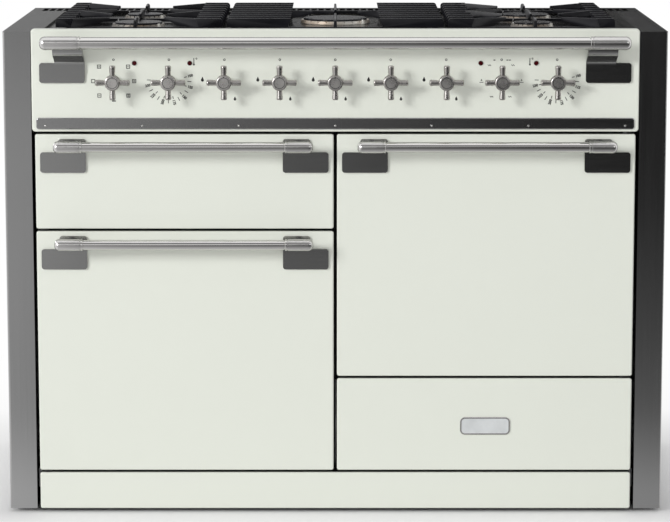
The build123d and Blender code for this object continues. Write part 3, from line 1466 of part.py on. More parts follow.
def spike(x, depth, tip_depth, nose):
    """A finger along a burner's centre line, from a low cross bar up to its tip beside the burner."""
    length = abs(tip_depth - depth)
    top = GRATE_TOP - FINGER_STEP
    foot = CROSS_BAR_LOW + FINGER_STEP
    tip = top - FINGER_TIP_DROP
    points = [
        (-FINGER_LAP, foot),
        (-FINGER_LAP, nose),
        (FINGER_RISE_LENGTH, top),
        (length, tip),
        (length, tip - FINGER_TIP_HEIGHT),
        (FINGER_RISE_LENGTH, GRATE_UNDERSIDE + FINGER_STEP),
        (FINGER_LAP, foot),
    ]
    return tapered_blade(points, (x, y_at(depth)), (0, tip_depth - depth))


def side_grate():
    """The right pan support: two racks, low cross bars, and six fingers round each of two burners."""
    rail_inset = GRATE_RAIL_WIDTH
    roots = (SIDE_RACK_INNER_END - rail_inset, SIDE_RACK_OUTER_END + rail_inset)
    pieces = rack(SIDE_GRATE_INNER, SIDE_RACK_INNER_END) + rack(SIDE_GRATE_OUTER, SIDE_RACK_OUTER_END)
    pieces += [grate_rail(x) for x in roots]
    middle = GRATE_BAR_COUNT // 2
    last = GRATE_BAR_COUNT - 1
    pieces += [cross_bar(*roots, index) for index in (0, middle, last)]
    full = GRATE_TOP - FINGER_STEP
    rows = (
        (FRONT_BURNER_DEPTH, ((0, -1, SPIKE_NOSE_HEIGHT), (middle, 1, full))),
        (BACK_BURNER_DEPTH, ((middle, -1, full), (last, 1, SPIKE_NOSE_HEIGHT))),
    )
    for burner_depth, ends in rows:
        centre = (SIDE_BURNER_X, y_at(burner_depth))
        for index, way, nose in ends:
            depth = bar_depth(index)
            pieces += [finger((x, y_at(depth)), centre, FINGER_CLEAR_RADIUS) for x in roots]
            tip_depth = burner_depth + way * SPIKE_CLEAR_RADIUS
            pieces.append(spike(SIDE_BURNER_X, depth, tip_depth, nose))
    return pieces[0].fuse(*pieces[1:])


def centre_grate():
    """The middle pan support: two wide racks and four fingers round the large burner."""
    inner = CENTRE_GRATE_HALF - CENTRE_RACK_LENGTH
    rail_inset = GRATE_RAIL_WIDTH
    rails = (inner + rail_inset, CENTRE_GRATE_HALF - 2 * rail_inset)
    centre = (0.0, y_at(CENTRE_BURNER_DEPTH))
    pieces = []
    for side in (-1, 1):
        pieces += rack(side * CENTRE_GRATE_HALF, side * inner)
        pieces += [grate_rail(side * x) for x in rails]
        pieces.append(finger((side * rails[0], centre[1]), centre, CENTRE_FINGER_REACH))
    for index, way in ((0, -1), (GRATE_BAR_COUNT - 1, 1)):
        pieces.append(cross_bar(-rails[0], rails[0], index))
        tip_depth = CENTRE_BURNER_DEPTH + way * CENTRE_FINGER_REACH
        pieces.append(spike(0.0, bar_depth(index), tip_depth, SPIKE_NOSE_HEIGHT))
    return pieces[0].fuse(*pieces[1:])


def build_nodes():
    """Every node of the cooker, by name."""
    left = (-DOOR_OUTER, -DOOR_INNER)
    right = (DOOR_INNER, DOOR_OUTER)
    left_hinge = -DOOR_OUTER + HINGE_INSET
    right_hinge = DOOR_OUTER - HINGE_INSET
    left_door = (*left, ROWS_BOTTOM, LEFT_DOOR_TOP)
    right_door = (*right, RIGHT_DOOR_BOTTOM, ROWS_TOP)
    casing = side_panel()
    left_fan_z = LEFT_OVEN_BOTTOM + OVEN_HEIGHT / 2
    right_fan_z = RIGHT_OVEN_BOTTOM + OVEN_HEIGHT / 2
    oven_knobs = [index for index in range(KNOB_COUNT) if index not in GAS_KNOBS]
    grate = side_grate()
    nodes = {
        "side_panels": group(casing, mirrored(casing)),
        "chassis": chassis(),
        "front_frame": front_frame(),
        "back_panel": back_panel(),
        "levelling_feet": group(*(levelling_foot(x, depth) for x, depth in foot_positions())),
        "plinth_panel": skin(-DOOR_OUTER, DOOR_OUTER, FLOOR_GAP, PLINTH_TOP),
        "left_oven_liner": oven_liner(-COLUMN_X, LEFT_OVEN_BOTTOM),
        "right_oven_liner": oven_liner(COLUMN_X, RIGHT_OVEN_BOTTOM),
        "grill_liner": grill_liner(),
        "oven_shelves": oven_shelves(),
        "oven_seals": group(mirrored(oven_seal(LEFT_OVEN_BOTTOM)), oven_seal(RIGHT_OVEN_BOTTOM)),
        "heating_elements": group(
            ring_element(-COLUMN_X, left_fan_z), ring_element(COLUMN_X, right_fan_z), grill_element()
        ),
        "fan_motors": group(fan_motor(-COLUMN_X, left_fan_z), fan_motor(COLUMN_X, right_fan_z)),
        "left_oven_fan": oven_fan(-COLUMN_X, left_fan_z),
        "right_oven_fan": oven_fan(COLUMN_X, right_fan_z),
        "hinge_brackets": hinge_brackets(),
        "slide_runners": slide_runners(),
        "left_door_skin": door_skin(*left_door, left_hinge),
        "left_door_liner": door_liner(*left_door, left_hinge),
        "left_door_handle": door_handle(-COLUMN_X, LEFT_DOOR_TOP),
        "left_door_handle_brackets": door_handle_brackets(-COLUMN_X, LEFT_DOOR_TOP),
        "right_door_skin": door_skin(*right_door, right_hinge),
        "right_door_liner": door_liner(*right_door, right_hinge),
        "right_door_handle": door_handle(COLUMN_X, ROWS_TOP),
        "right_door_handle_brackets": door_handle_brackets(COLUMN_X, ROWS_TOP),
        "grill_front": skin(*left, GRILL_BOTTOM, ROWS_TOP),
        "grill_carriage": grill_carriage(),
        "grill_pan": grill_pan(),
        "grill_handle": door_handle(-COLUMN_X, ROWS_TOP),
        "grill_handle_brackets": door_handle_brackets(-COLUMN_X, ROWS_TOP),
        "drawer_front": skin(*right, ROWS_BOTTOM, DRAWER_TOP),
        "drawer_box": drawer_box(),
        "fascia_panel": fascia_panel(),
        "fascia_trim_strip": fascia_trim_strip(),
        "indicator_lenses": group(*(indicator_lens(x) for x in lens_xs())),
        "handrail": handrail(),
        "handrail_brackets": handrail_brackets(),
        "gas_rail": gas_rail(),
        "oven_controls": group(*(oven_control(knob_x(index)) for index in oven_knobs)),
        "hob_tray": hob_tray(),
        "rear_vent_trim": rear_vent_trim(),
        "burner_heads": group(*(burner_head(*burner) for burner in burners())),
        "burner_caps": group(*(burner_cap(*burner) for burner in burners())),
        "left_pan_support": mirrored(grate),
        "centre_pan_support": centre_grate(),
        "right_pan_support": grate,
    }
    knob = knob_shape()
    for index in range(KNOB_COUNT):
        x = knob_x(index)
        nodes[f"knob_{index + 1}"] = Pos(x, y_at(DOOR_FRONT), KNOB_Z) * knob
        if index in GAS_KNOBS:
            nodes[f"gas_spindle_{index + 1}"] = gas_spindle(x)
    return nodes


os.makedirs("parts", exist_ok=True)
for node_name, node_shape in build_nodes().items():
    export_step(node_shape, f"parts/{node_name}.step")
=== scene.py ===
import json
import math

import bmesh
import bpy
from mathutils import Matrix, Vector


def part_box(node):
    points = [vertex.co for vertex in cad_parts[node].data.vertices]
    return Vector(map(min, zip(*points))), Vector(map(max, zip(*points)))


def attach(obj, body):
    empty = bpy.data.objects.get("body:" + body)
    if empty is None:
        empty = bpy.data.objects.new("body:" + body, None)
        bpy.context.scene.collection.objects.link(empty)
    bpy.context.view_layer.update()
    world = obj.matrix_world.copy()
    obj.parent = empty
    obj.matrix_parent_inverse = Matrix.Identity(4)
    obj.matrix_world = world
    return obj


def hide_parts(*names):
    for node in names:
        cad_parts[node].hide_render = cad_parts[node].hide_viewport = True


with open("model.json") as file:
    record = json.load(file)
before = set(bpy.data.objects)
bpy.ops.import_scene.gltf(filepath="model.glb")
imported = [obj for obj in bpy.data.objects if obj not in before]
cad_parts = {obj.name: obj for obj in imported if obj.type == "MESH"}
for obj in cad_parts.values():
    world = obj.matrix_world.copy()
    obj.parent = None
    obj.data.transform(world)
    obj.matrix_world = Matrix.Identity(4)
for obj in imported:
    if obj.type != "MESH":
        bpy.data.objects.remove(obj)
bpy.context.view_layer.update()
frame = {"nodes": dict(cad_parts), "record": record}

MM = 0.001
NODES = frame["nodes"]
RECORD = frame["record"]
BODY_OF = {
    node: body for body, members in RECORD["behaviour"]["bodies"].items() for node in members
}
SLOT_OF = {entry["node"]: entry["material_slot"] for entry in RECORD["subparts"]}
KNOB_NUMBERS = range(1, 10)

# The photograph's camera: its place, the point in the middle of the picture and its lens.
CAMERA_AT = (0.0, -5.5815, 1.3111)
CAMERA_AIM = (-0.0005, -0.2705, 0.4699)
CAMERA_LENS = 158.46
SENSOR = 36.0

FORWARD = Vector((0, -1, 0))
RIGHT = Vector((1, 0, 0))
UP = Vector((0, 0, 1))


# Materials


def srgb(red, green, blue):
    """A colour given as 0 to 255 display values."""

    def linear(value):
        value /= 255
        return value / 12.92 if value <= 0.04045 else ((value + 0.055) / 1.055) ** 2.4

    return (linear(red), linear(green), linear(blue))


def shade(colour, share):
    """The same colour, lighter or darker."""
    return tuple(min(1.0, channel * share) for channel in colour)


def fill_ramp(ramp, stops):
    """Gives a colour ramp node its stops, which are (position, colour) pairs."""
    elements = ramp.color_ramp.elements
    while len(elements) < len(stops):
        elements.new(0.5)
    for element, (position, colour) in zip(elements, stops):
        element.position = position
        element.color = (*colour, 1)


class Shader:
    """A material's node tree, with short calls for the nodes used here."""

    def __init__(self, name):
        self.material = bpy.data.materials.new(name)
        self.material.use_nodes = True
        self.tree = self.material.node_tree
        self.bsdf = next(n for n in self.tree.nodes if n.type == "BSDF_PRINCIPLED")
        self.coordinates = self.tree.nodes.new("ShaderNodeTexCoord").outputs["Object"]

    def node(self, kind, **values):
        made = self.tree.nodes.new(kind)
        for key, value in values.items():
            setattr(made, key, value)
        return made

    def link(self, source, target):
        self.tree.links.new(source, target)

    def axis(self, letter):
        """One of the object's own coordinates."""
        split = self.node("ShaderNodeSeparateXYZ")
        self.link(self.coordinates, split.inputs["Vector"])
        return split.outputs[letter]

    def scaled(self, scale):
        mapping = self.node("ShaderNodeMapping")
        mapping.inputs["Scale"].default_value = scale
        self.link(self.coordinates, mapping.inputs["Vector"])
        return mapping.outputs["Vector"]

    def noise(self, scale, stretch=(1, 1, 1), detail=3.0, roughness=0.5):
        texture = self.node("ShaderNodeTexNoise")
        texture.inputs["Scale"].default_value = scale
        texture.inputs["Detail"].default_value = detail
        texture.inputs["Roughness"].default_value = roughness
        self.link(self.scaled(stretch), texture.inputs["Vector"])
        return texture.outputs["Fac"]

    def cells(self, scale):
        texture = self.node("ShaderNodeTexVoronoi", feature="F1")
        texture.inputs["Scale"].default_value = scale
        self.link(self.coordinates, texture.inputs["Vector"])
        return texture

    def ramp(self, value, stops):
        made = self.node("ShaderNodeValToRGB")
        fill_ramp(made, stops)
        self.link(value, made.inputs["Fac"])
        return made.outputs["Color"]

    def tones(self, value, colour, dark, light, start=0.3, end=0.7):
        """A colour that goes from a darker to a lighter share of itself along a value."""
        return self.ramp(value, [(start, shade(colour, dark)), (end, shade(colour, light))])

    def spread(self, value, low, high, start=0.3, end=0.7):
        """A value that goes from low to high while another goes from start to end."""
        made = self.node("ShaderNodeMapRange")
        made.inputs["From Min"].default_value = start
        made.inputs["From Max"].default_value = end
        made.inputs["To Min"].default_value = low
        made.inputs["To Max"].default_value = high
        self.link(value, made.inputs["Value"])
        return made.outputs["Result"]

    def mix(self, factor, first, second):
        """The first colour where the factor is 0, the second where it is 1."""
        made = self.node("ShaderNodeMix", data_type="RGBA")
        self.link(factor, made.inputs["Factor"])
        self.link(first, made.inputs["A"])
        self.link(second, made.inputs["B"])
        return made.outputs["Result"]

    def bump(self, value, distance, strength):
        made = self.node("ShaderNodeBump")
        made.inputs["Strength"].default_value = strength
        made.inputs["Distance"].default_value = distance
        self.link(value, made.inputs["Height"])
        self.link(made.outputs["Normal"], self.bsdf.inputs["Normal"])

    def colour(self, source):
        self.link(source, self.bsdf.inputs["Base Color"])

    def rough(self, source):
        self.link(source, self.bsdf.inputs["Roughness"])

    def set(self, **values):
        for key, value in values.items():
            self.bsdf.inputs[key.replace("_", " ")].default_value = value


def enamel(name, colour, edge=None):
    """Gloss baked enamel: a faint mottle, and the slight orange peel of a sprayed coat.

    Behind the edge depth, if one is given, the colour is near black: the ground coat, with painted shade
    for the gaps between the panels.
    """
    ground_and_gap_shade_dark = (0.008, 0.008, 0.009)
    ground_and_gap_shade_light = (0.014, 0.014, 0.015)
    edge_blend = 0.001
    s = Shader(name)
    mottle = s.noise(scale=5.0, detail=4.0)
    coat = s.tones(mottle, colour, dark=0.997, light=1.003)
    # Painted shade: behind the edge depth the returns go near black, so the gaps between the panels read
    # dark.
    if edge is not None:
        behind = s.spread(s.axis("Y"), low=0.0, high=1.0, start=edge, end=edge + edge_blend)
        ground_and_gap_shade = s.ramp(mottle, [(0.3, ground_and_gap_shade_dark), (0.7, ground_and_gap_shade_light)])
        coat = s.mix(behind, coat, ground_and_gap_shade)
    s.colour(coat)
    s.rough(s.spread(s.noise(scale=38.0), low=0.285, high=0.295))
    s.bump(s.noise(scale=160.0, detail=1.0), distance=0.000006, strength=0.05)
    s.set(Coat_Weight=0.35, Coat_Roughness=0.12, Specular_IOR_Level=0.45)
    return s.material


def brushed(name, colour, stretch, rough=(0.14, 0.2)):
    """Metal with fine parallel brush lines; the stretch is small along the lines."""
    streak = 0.06
    line_share = 0.75
    s = Shader(name)
    lines = s.noise(scale=1.0, stretch=stretch, detail=4.0, roughness=0.7)
    cloud = s.spread(s.noise(scale=3.0), low=0.06, high=0.19)
    tone = s.node("ShaderNodeMath", operation="MULTIPLY_ADD")
    s.link(lines, tone.inputs[0])
    tone.inputs[1].default_value = line_share
    s.link(cloud, tone.inputs[2])
    s.colour(s.tones(tone.outputs["Value"], colour, 1 - streak, 1 + streak, start=0.25, end=0.75))
    s.rough(s.spread(lines, *rough))
    s.bump(lines, distance=0.000008, strength=0.5)
    s.set(Metallic=1.0, Specular_Tint=(0.5, 0.5, 0.5, 1))
    return s.material


def polished(name, colour, rough):
    """Polished metal with faint wipe marks."""
    stretch = (3, 3, 3)
    s = Shader(name)
    haze = s.noise(scale=9.0, stretch=stretch, detail=5.0)
    s.colour(s.tones(haze, colour, dark=0.97, light=1.02))
    s.rough(s.spread(haze, *rough))
    s.bump(s.noise(scale=260.0, stretch=stretch), distance=0.0000005, strength=0.05)
    s.set(Metallic=1.0, Specular_Tint=(0.35, 0.35, 0.35, 1))
    return s.material


def cast_iron(name, colour, rough=(0.26, 0.36), grain=520.0, depth=0.00002):
    """Matt enamelled casting with a sandy grain."""
    s = Shader(name)
    cloud = s.noise(scale=24.0, detail=5.0)
    s.colour(s.tones(cloud, colour, dark=0.7, light=1.35))
    s.rough(s.spread(cloud, *rough))
    s.bump(s.noise(scale=grain, detail=4.0, roughness=0.65), distance=depth, strength=0.6)
    s.set(Specular_IOR_Level=0.3)
    return s.material


def speckled(name, colour, fleck):
    """Vitreous enamel with pale flecks."""
    s = Shader(name)
    flecks = [(0.0, fleck), (0.13, fleck), (0.19, colour), (1.0, shade(colour, 1.15))]
    s.colour(s.ramp(s.cells(scale=260.0).outputs["Distance"], flecks))
    s.rough(s.spread(s.noise(scale=30.0), low=0.18, high=0.3))
    s.bump(s.noise(scale=90.0), distance=0.0001, strength=0.3)
    s.set(Coat_Weight=0.3, Coat_Roughness=0.1)
    return s.material


def moulded(name, colour, rough=(0.42, 0.58), grain=900.0):
    """Moulded plastic, rubber or fibre with a fine grain."""
    s = Shader(name)
    cloud = s.noise(scale=30.0)
    s.colour(s.tones(cloud, colour, dark=0.9, light=1.1))
    s.rough(s.spread(cloud, *rough))
    s.bump(s.noise(scale=grain, detail=2.0), distance=0.00006, strength=0.5)
    return s.material


def zinc(name, colour):
    """Galvanised sheet with its spangle."""
    s = Shader(name)
    spangle = s.node("ShaderNodeSeparateColor")
    s.link(s.cells(scale=150.0).outputs["Color"], spangle.inputs["Color"])
    s.colour(s.tones(spangle.outputs["Red"], colour, dark=0.92, light=1.06, start=0.0, end=1.0))
    s.rough(s.spread(spangle.outputs["Green"], low=0.3, high=0.46, start=0.0, end=1.0))
    s.bump(s.noise(scale=200.0), distance=0.00003, strength=0.3)
    s.set(Metallic=0.9)
    return s.material


def lens_plastic(name, colour):
    """Glossy coloured plastic."""
    s = Shader(name)
    swirl = s.noise(scale=700.0)
    s.colour(s.tones(swirl, colour, dark=0.85, light=1.15))
    s.rough(s.spread(swirl, low=0.08, high=0.16))
    s.bump(s.noise(scale=1500.0), distance=0.00002, strength=0.2)
    s.set(Coat_Weight=0.1, Coat_Roughness=0.05, Specular_IOR_Level=0.3)
    return s.material


def pewter(name, lit_hub_colour, shaded_arm_colour, hub_share):
    """Satin plated casting with a turned hub; the hub is painted paler, a painted highlight on its face,
    and the arms darker, painted shade on their flanks. The hub's radius is a share of the knob's width.
    """
    hub_blend = 0.01
    s = Shader(name)
    haze = s.noise(scale=60.0, detail=4.0)
    centred = s.node("ShaderNodeVectorMath", operation="MULTIPLY_ADD")
    s.link(s.node("ShaderNodeTexCoord").outputs["Generated"], centred.inputs[0])
    centred.inputs[1].default_value = (1.0, 0.0, 1.0)
    centred.inputs[2].default_value = (-0.5, 0.0, -0.5)
    radius = s.node("ShaderNodeVectorMath", operation="LENGTH")
    s.link(centred.outputs["Vector"], radius.inputs[0])
    outside = s.spread(
        radius.outputs["Value"], low=0.0, high=1.0, start=hub_share, end=hub_share + hub_blend
    )
    # Painted light and shade: the hub is paler for the highlight on its face, and the arms are darker for
    # the shade on their flanks.
    lit_hub_tones = s.tones(haze, lit_hub_colour, dark=0.93, light=1.07)
    shaded_arm_tones = s.tones(haze, shaded_arm_colour, dark=0.93, light=1.07)
    s.colour(s.mix(outside, lit_hub_tones, shaded_arm_tones))
    s.rough(s.spread(haze, low=0.25, high=0.31))
    s.bump(s.noise(scale=900.0), distance=0.000003, strength=0.1)
    s.set(Metallic=1.0, Specular_Tint=(0.25, 0.25, 0.25, 1))
    return s.material


def burner_metal(name, colour, tint, side):
    """Cast aluminium with a brownish heat tint in patches.

    The side burners show a share of the centre burner's tone.
    """
    centre_reach = 0.15
    side_reach = 0.2
    s = Shader(name)
    cloud = s.noise(scale=22.0, detail=4.0)
    reach = s.node("ShaderNodeMath", operation="ABSOLUTE")
    s.link(s.axis("X"), reach.inputs[0])
    beside = s.spread(reach.outputs["Value"], low=0.0, high=1.0, start=centre_reach, end=side_reach)
    patches = [
        s.ramp(cloud, [(0.35, shade(colour, share)), (0.75, shade(tint, share))]) for share in (1.0, side)
    ]
    s.colour(s.mix(beside, *patches))
    s.rough(s.spread(s.noise(scale=240.0), low=0.34, high=0.5))
    s.bump(s.noise(scale=800.0), distance=0.00008, strength=0.5)
    s.set(Metallic=0.75)
    return s.material


ENAMEL = srgb(229, 232, 222)
# Behind this depth the edges of the painted panels are near black: their ground coat, with painted shade
# for the gaps between the panels.
PANEL_GROUND_AND_SHADE_EDGE_Y = -0.2672
MATERIALS = {
    "front_enamel": enamel("front_enamel", ENAMEL),
    "casing_steel": brushed("casing_steel", (0.5, 0.5, 0.5), stretch=(900, 900, 5)),
    "trim_steel": brushed("trim_steel", (0.48, 0.48, 0.48), stretch=(5, 900, 900)),
    "polished_metal": polished("polished_metal", (0.8, 0.79, 0.775), rough=(0.05, 0.07)),
    "bracket_metal": brushed("bracket_metal", (0.47, 0.47, 0.465), stretch=(12, 700, 700)),
    "chassis_steel": zinc("chassis_steel", (0.55, 0.56, 0.57)),
    "cavity_enamel": speckled("cavity_enamel", (0.012, 0.014, 0.02), fleck=(0.16, 0.17, 0.2)),
    "wire_chrome": polished("wire_chrome", (0.66, 0.66, 0.66), rough=(0.12, 0.22)),
    "seal_fibre": moulded("seal_fibre", (0.03, 0.03, 0.03), rough=(0.75, 0.9), grain=1800.0),
    "element_steel": brushed(
        "element_steel", (0.14, 0.13, 0.125), stretch=(300, 300, 300), rough=(0.4, 0.55)
    ),
    "motor_steel": zinc("motor_steel", (0.5, 0.5, 0.51)),
    "fan_steel": brushed("fan_steel", (0.5, 0.5, 0.5), stretch=(60, 60, 700)),
    "hob_steel": brushed("hob_steel", (0.42, 0.415, 0.4), stretch=(6, 700, 700), rough=(0.1, 0.16)),
    "vent_steel": brushed("vent_steel", (0.4, 0.4, 0.4), stretch=(6, 900, 900)),
    "cast_iron": cast_iron("cast_iron", (0.006, 0.006, 0.0085)),
    "burner_aluminium": burner_metal(
        "burner_aluminium", (0.62, 0.6, 0.56), tint=(0.5, 0.38, 0.27), side=0.4
    ),
    "burner_cap_enamel": cast_iron(
        "burner_cap_enamel", (0.008, 0.008, 0.011), rough=(0.2, 0.3), grain=300.0, depth=0.00004
    ),
    "valve_brass": brushed("valve_brass", (0.62, 0.46, 0.2), stretch=(400, 40, 400)),
    "control_plastic": moulded("control_plastic", (0.7, 0.69, 0.64)),
    "red_lens": lens_plastic("red_lens", (0.05, 0.002, 0.004)),
    "foot_plastic": moulded("foot_plastic", (0.02, 0.02, 0.02)),
}
INK = moulded("dial_ink", (0.012, 0.012, 0.013), rough=(0.35, 0.5))
CERAMIC = moulded("igniter_ceramic", (0.78, 0.76, 0.7), rough=(0.3, 0.45))
# Enamel whose returns are near black: the ground coat with painted shade for the gaps between the panels.
PANEL_ENAMEL_GAP_SHADE = enamel("panel_enamel_gap_shade", ENAMEL, edge=PANEL_GROUND_AND_SHADE_EDGE_Y)
# The knobs' hubs are painted paler and their arms darker: a painted highlight and painted shade.
KNOB_METAL = pewter("knob_metal", lit_hub_colour=(0.93, 0.9, 0.87), shaded_arm_colour=(0.52, 0.5, 0.48), hub_share=0.185)
CAP_METAL = polished("cap_metal", (0.72, 0.71, 0.7), rough=(0.23, 0.26))
FRAME_ENAMEL = moulded("frame_enamel", (0.012, 0.012, 0.012), rough=(0.35, 0.5))
HINGE_STEEL = zinc("hinge_steel", (0.05, 0.05, 0.05))
BADGE_FIELD = moulded("badge_field", (0.66, 0.68, 0.69), rough=(0.3, 0.4))

# Nodes whose look differs from their slot's.
OWN_MATERIAL = {f"knob_{number}": KNOB_METAL for number in KNOB_NUMBERS}
OWN_MATERIAL["front_frame"] = FRAME_ENAMEL
OWN_MATERIAL["hinge_brackets"] = HINGE_STEEL
# These panels' returns are near black: painted shade for the gaps between them.
for panel in ("plinth_panel", "left_door_skin", "right_door_skin", "grill_front", "drawer_front"):
    OWN_MATERIAL[panel] = PANEL_ENAMEL_GAP_SHADE

for node, obj in NODES.items():
    obj.data.materials.clear()
    obj.data.materials.append(OWN_MATERIAL.get(node, MATERIALS[SLOT_OF[node]]))


# Shapes


# Points closer than this are one point.
MERGE_DISTANCE = 1e-7


def add_piece(name, bm, material, body, smooth=40.0):
    """Turns a bmesh into a piece that rides on a body; edges sharper than the smooth angle stay sharp."""
    bmesh.ops.remove_doubles(bm, verts=bm.verts, dist=MERGE_DISTANCE)
    bmesh.ops.recalc_face_normals(bm, faces=bm.faces)
    mesh = bpy.data.meshes.new(name)
    bm.to_mesh(mesh)
    bm.free()
    mesh.shade_smooth()
    mesh.set_sharp_from_angle(angle=math.radians(smooth))
    mesh.materials.append(material)
    piece = bpy.data.objects.new(name, mesh)
    bpy.context.scene.collection.objects.link(piece)
    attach(piece, body)
    return piece


def turn(bm, profile, origin, axis, steps=48):
    """Revolves (radius, distance) points about an axis through a point."""
    axis = Vector(axis).normalized()
    side = axis.orthogonal().normalized()
    other = axis.cross(side)
    rings = []
    for radius, along in profile:
        centre = Vector(origin) + axis * along
        if radius < MERGE_DISTANCE:
            rings.append([bm.verts.new(centre)])
            continue
        ring = []
        for step in range(steps):
            angle = 2 * math.pi * step / steps
            ring.append(bm.verts.new(centre + (side * math.cos(angle) + other * math.sin(angle)) * radius))
        rings.append(ring)
    for near, far in zip(rings, rings[1:]):
        for step in range(steps):
            after = step + 1
            corners = (
                near[step % len(near)],
                near[after % len(near)],
                far[after % len(far)],
                far[step % len(far)],
            )
            face = list(dict.fromkeys(corners))
            if len(face) > 2:
                bm.faces.new(face)


def arc(centre_radius, centre_along, size, start, end, count):
    """Points of an arc in a turned profile; angles in degrees from straight out towards the axis."""
    points = []
    for step in range(count + 1):
        angle = math.radians(start + (end - start) * step / count)
        points.append((centre_radius + size * math.cos(angle), centre_along + size * math.sin(angle)))
    return points


def plate(bm, outline, face_y, height):
    """A flat shape from (x, z) points, standing forward of a face by its height."""
    front = [bm.verts.new((x, face_y - height, z)) for x, z in outline]
    back = [bm.verts.new((x, face_y, z)) for x, z in outline]
    bm.faces.new(front)
    bm.faces.new(list(reversed(back)))
    count = len(outline)
    for index in range(count):
        after = (index + 1) % count
        bm.faces.new((front[index], back[index], back[after], front[after]))


def band(bm, outer, inner, face_y, height):
    """A flat frame between two outlines with the same number of points."""
    count = len(outer)
    sets = []
    for outline in (outer, inner):
        front = [bm.verts.new((x, face_y - height, z)) for x, z in outline]
        back = [bm.verts.new((x, face_y, z)) for x, z in outline]
        sets.append((front, back))
    (front_out, back_out), (front_in, back_in) = sets
    for index in range(count):
        after = (index + 1) % count
        bm.faces.new((front_out[index], front_out[after], front_in[after], front_in[index]))
        bm.faces.new((back_out[index], back_in[index], back_in[after], back_out[after]))
        bm.faces.new((front_out[index], back_out[index], back_out[after], front_out[after]))
        bm.faces.new((front_in[index], front_in[after], back_in[after], back_in[index]))


def circle(x, z, radius, count=20):
    """A circle, as (x, z) points."""
    return [
        (x + radius * math.cos(2 * math.pi * k / count), z + radius * math.sin(2 * math.pi * k / count))
        for k in range(count)
    ]


def rounded_box(x, z, width, height, corner, count):
    """A rectangle with rounded corners, as (x, z) points."""
    points = []
    for quarter, (sx, sz) in enumerate(((1, 1), (-1, 1), (-1, -1), (1, -1))):
        cx = x + sx * (width / 2 - corner)
        cz = z + sz * (height / 2 - corner)
        for step in range(count + 1):
            angle = math.radians(quarter * 90 + 90 * step / count)
            points.append((cx + corner * math.cos(angle), cz + corner * math.sin(angle)))
    return points


def stroke(x, z, length, width, angle=0.0):
    """A straight stroke about a point; the angle is from +X towards +Z."""
    along = (math.cos(angle), math.sin(angle))
    corners = ((-1, -1), (1, -1), (1, 1), (-1, 1))
    return [
        (
            x + u * length / 2 * along[0] - v * width / 2 * along[1],
            z + u * length / 2 * along[1] + v * width / 2 * along[0],
        )
        for u, v in corners
    ]


def flame(x, z, height):
    """A pointed drop: a tip at the top and most of a circle below it."""
    radius = height * 0.3
    start, sweep, count = 150, 240, 12
    points = [(x, z + height / 2)]
    for step in range(count + 1):
        angle = math.radians(start + sweep * step / count)
        points.append((x + radius * math.cos(angle), z - height / 2 + radius + radius * math.sin(angle)))
    return points


def clock(x, z, radius, degrees):
    """A point at a clockwise angle from the top, and its direction from +X towards +Z."""
    turned = math.radians(90 - degrees)
    return x + radius * math.cos(turned), z + radius * math.sin(turned), turned


# Marks printed on the fascia


FASCIA_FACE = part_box("fascia_panel")[0].y
INK_HEIGHT = 0.00012

FUNCTION_KNOB = 1
GRILL_KNOB = 8
THERMOSTAT_LABELS = ("100", "125", "150", "175", "200", "225", "250")
# Each thermostat's knob, with its thermometer's distance to the right of it in mm.
THERMOMETER_SHIFT = {2: 45.0, 9: -49.0}
THERMOMETER_RISE = 36.0


def ink(bm, outline):
    """A printed shape."""
    plate(bm, outline, FASCIA_FACE, INK_HEIGHT)


def ink_ring(bm, x, z, radius, width):
    """A printed ring, of a line's width."""
    band(bm, circle(x, z, radius), circle(x, z, radius - width), FASCIA_FACE, INK_HEIGHT)


def ink_frame(bm, x, z, size, width):
    """A printed square, of a line's width."""
    inside = size - 2 * width
    band(bm, stroke(x, z, size, size), stroke(x, z, inside, inside), FASCIA_FACE, INK_HEIGHT)


def ink_number(bm, text, x, z, size, angle):
    """A plain number, turned about its middle."""
    bold_share = 0.05
    curve = bpy.data.curves.new("number", "FONT")
    curve.body = text
    curve.size = size
    curve.extrude = INK_HEIGHT / 2
    curve.offset = bold_share * size
    curve.align_x = "CENTER"
    curve.align_y = "CENTER"
    letter = bpy.data.objects.new("number", curve)
    bpy.context.scene.collection.objects.link(letter)
    bpy.context.view_layer.update()
    mesh = bpy.data.meshes.new_from_object(letter.evaluated_get(bpy.context.evaluated_depsgraph_get()))
    upright = Matrix.Rotation(math.pi / 2, 4, "X")
    spin = Matrix.Rotation(-angle, 4, "Y")
    place = Matrix.Translation((x, FASCIA_FACE - INK_HEIGHT / 2, z))
    mesh.transform(place @ spin @ upright)
    bm.from_mesh(mesh)
    bpy.data.meshes.remove(mesh)
    bpy.data.objects.remove(letter)
    bpy.data.curves.remove(curve)


def off_mark(bm, x, z):
    """The small ring above a knob, at its off position."""
    rise = 38.6 * MM
    ink_ring(bm, x, z + rise, radius=2.2 * MM, width=1.1 * MM)


def gas_marks(bm, x, z):
    """A large flame at the left of a gas knob and a small one below it."""
    flames = ((-39.8, 3.6, 9.0), (18.7, -31.4, 7.6))
    for across, rise, height in flames:
        ink(bm, flame(x + across * MM, z + rise * MM, height * MM))


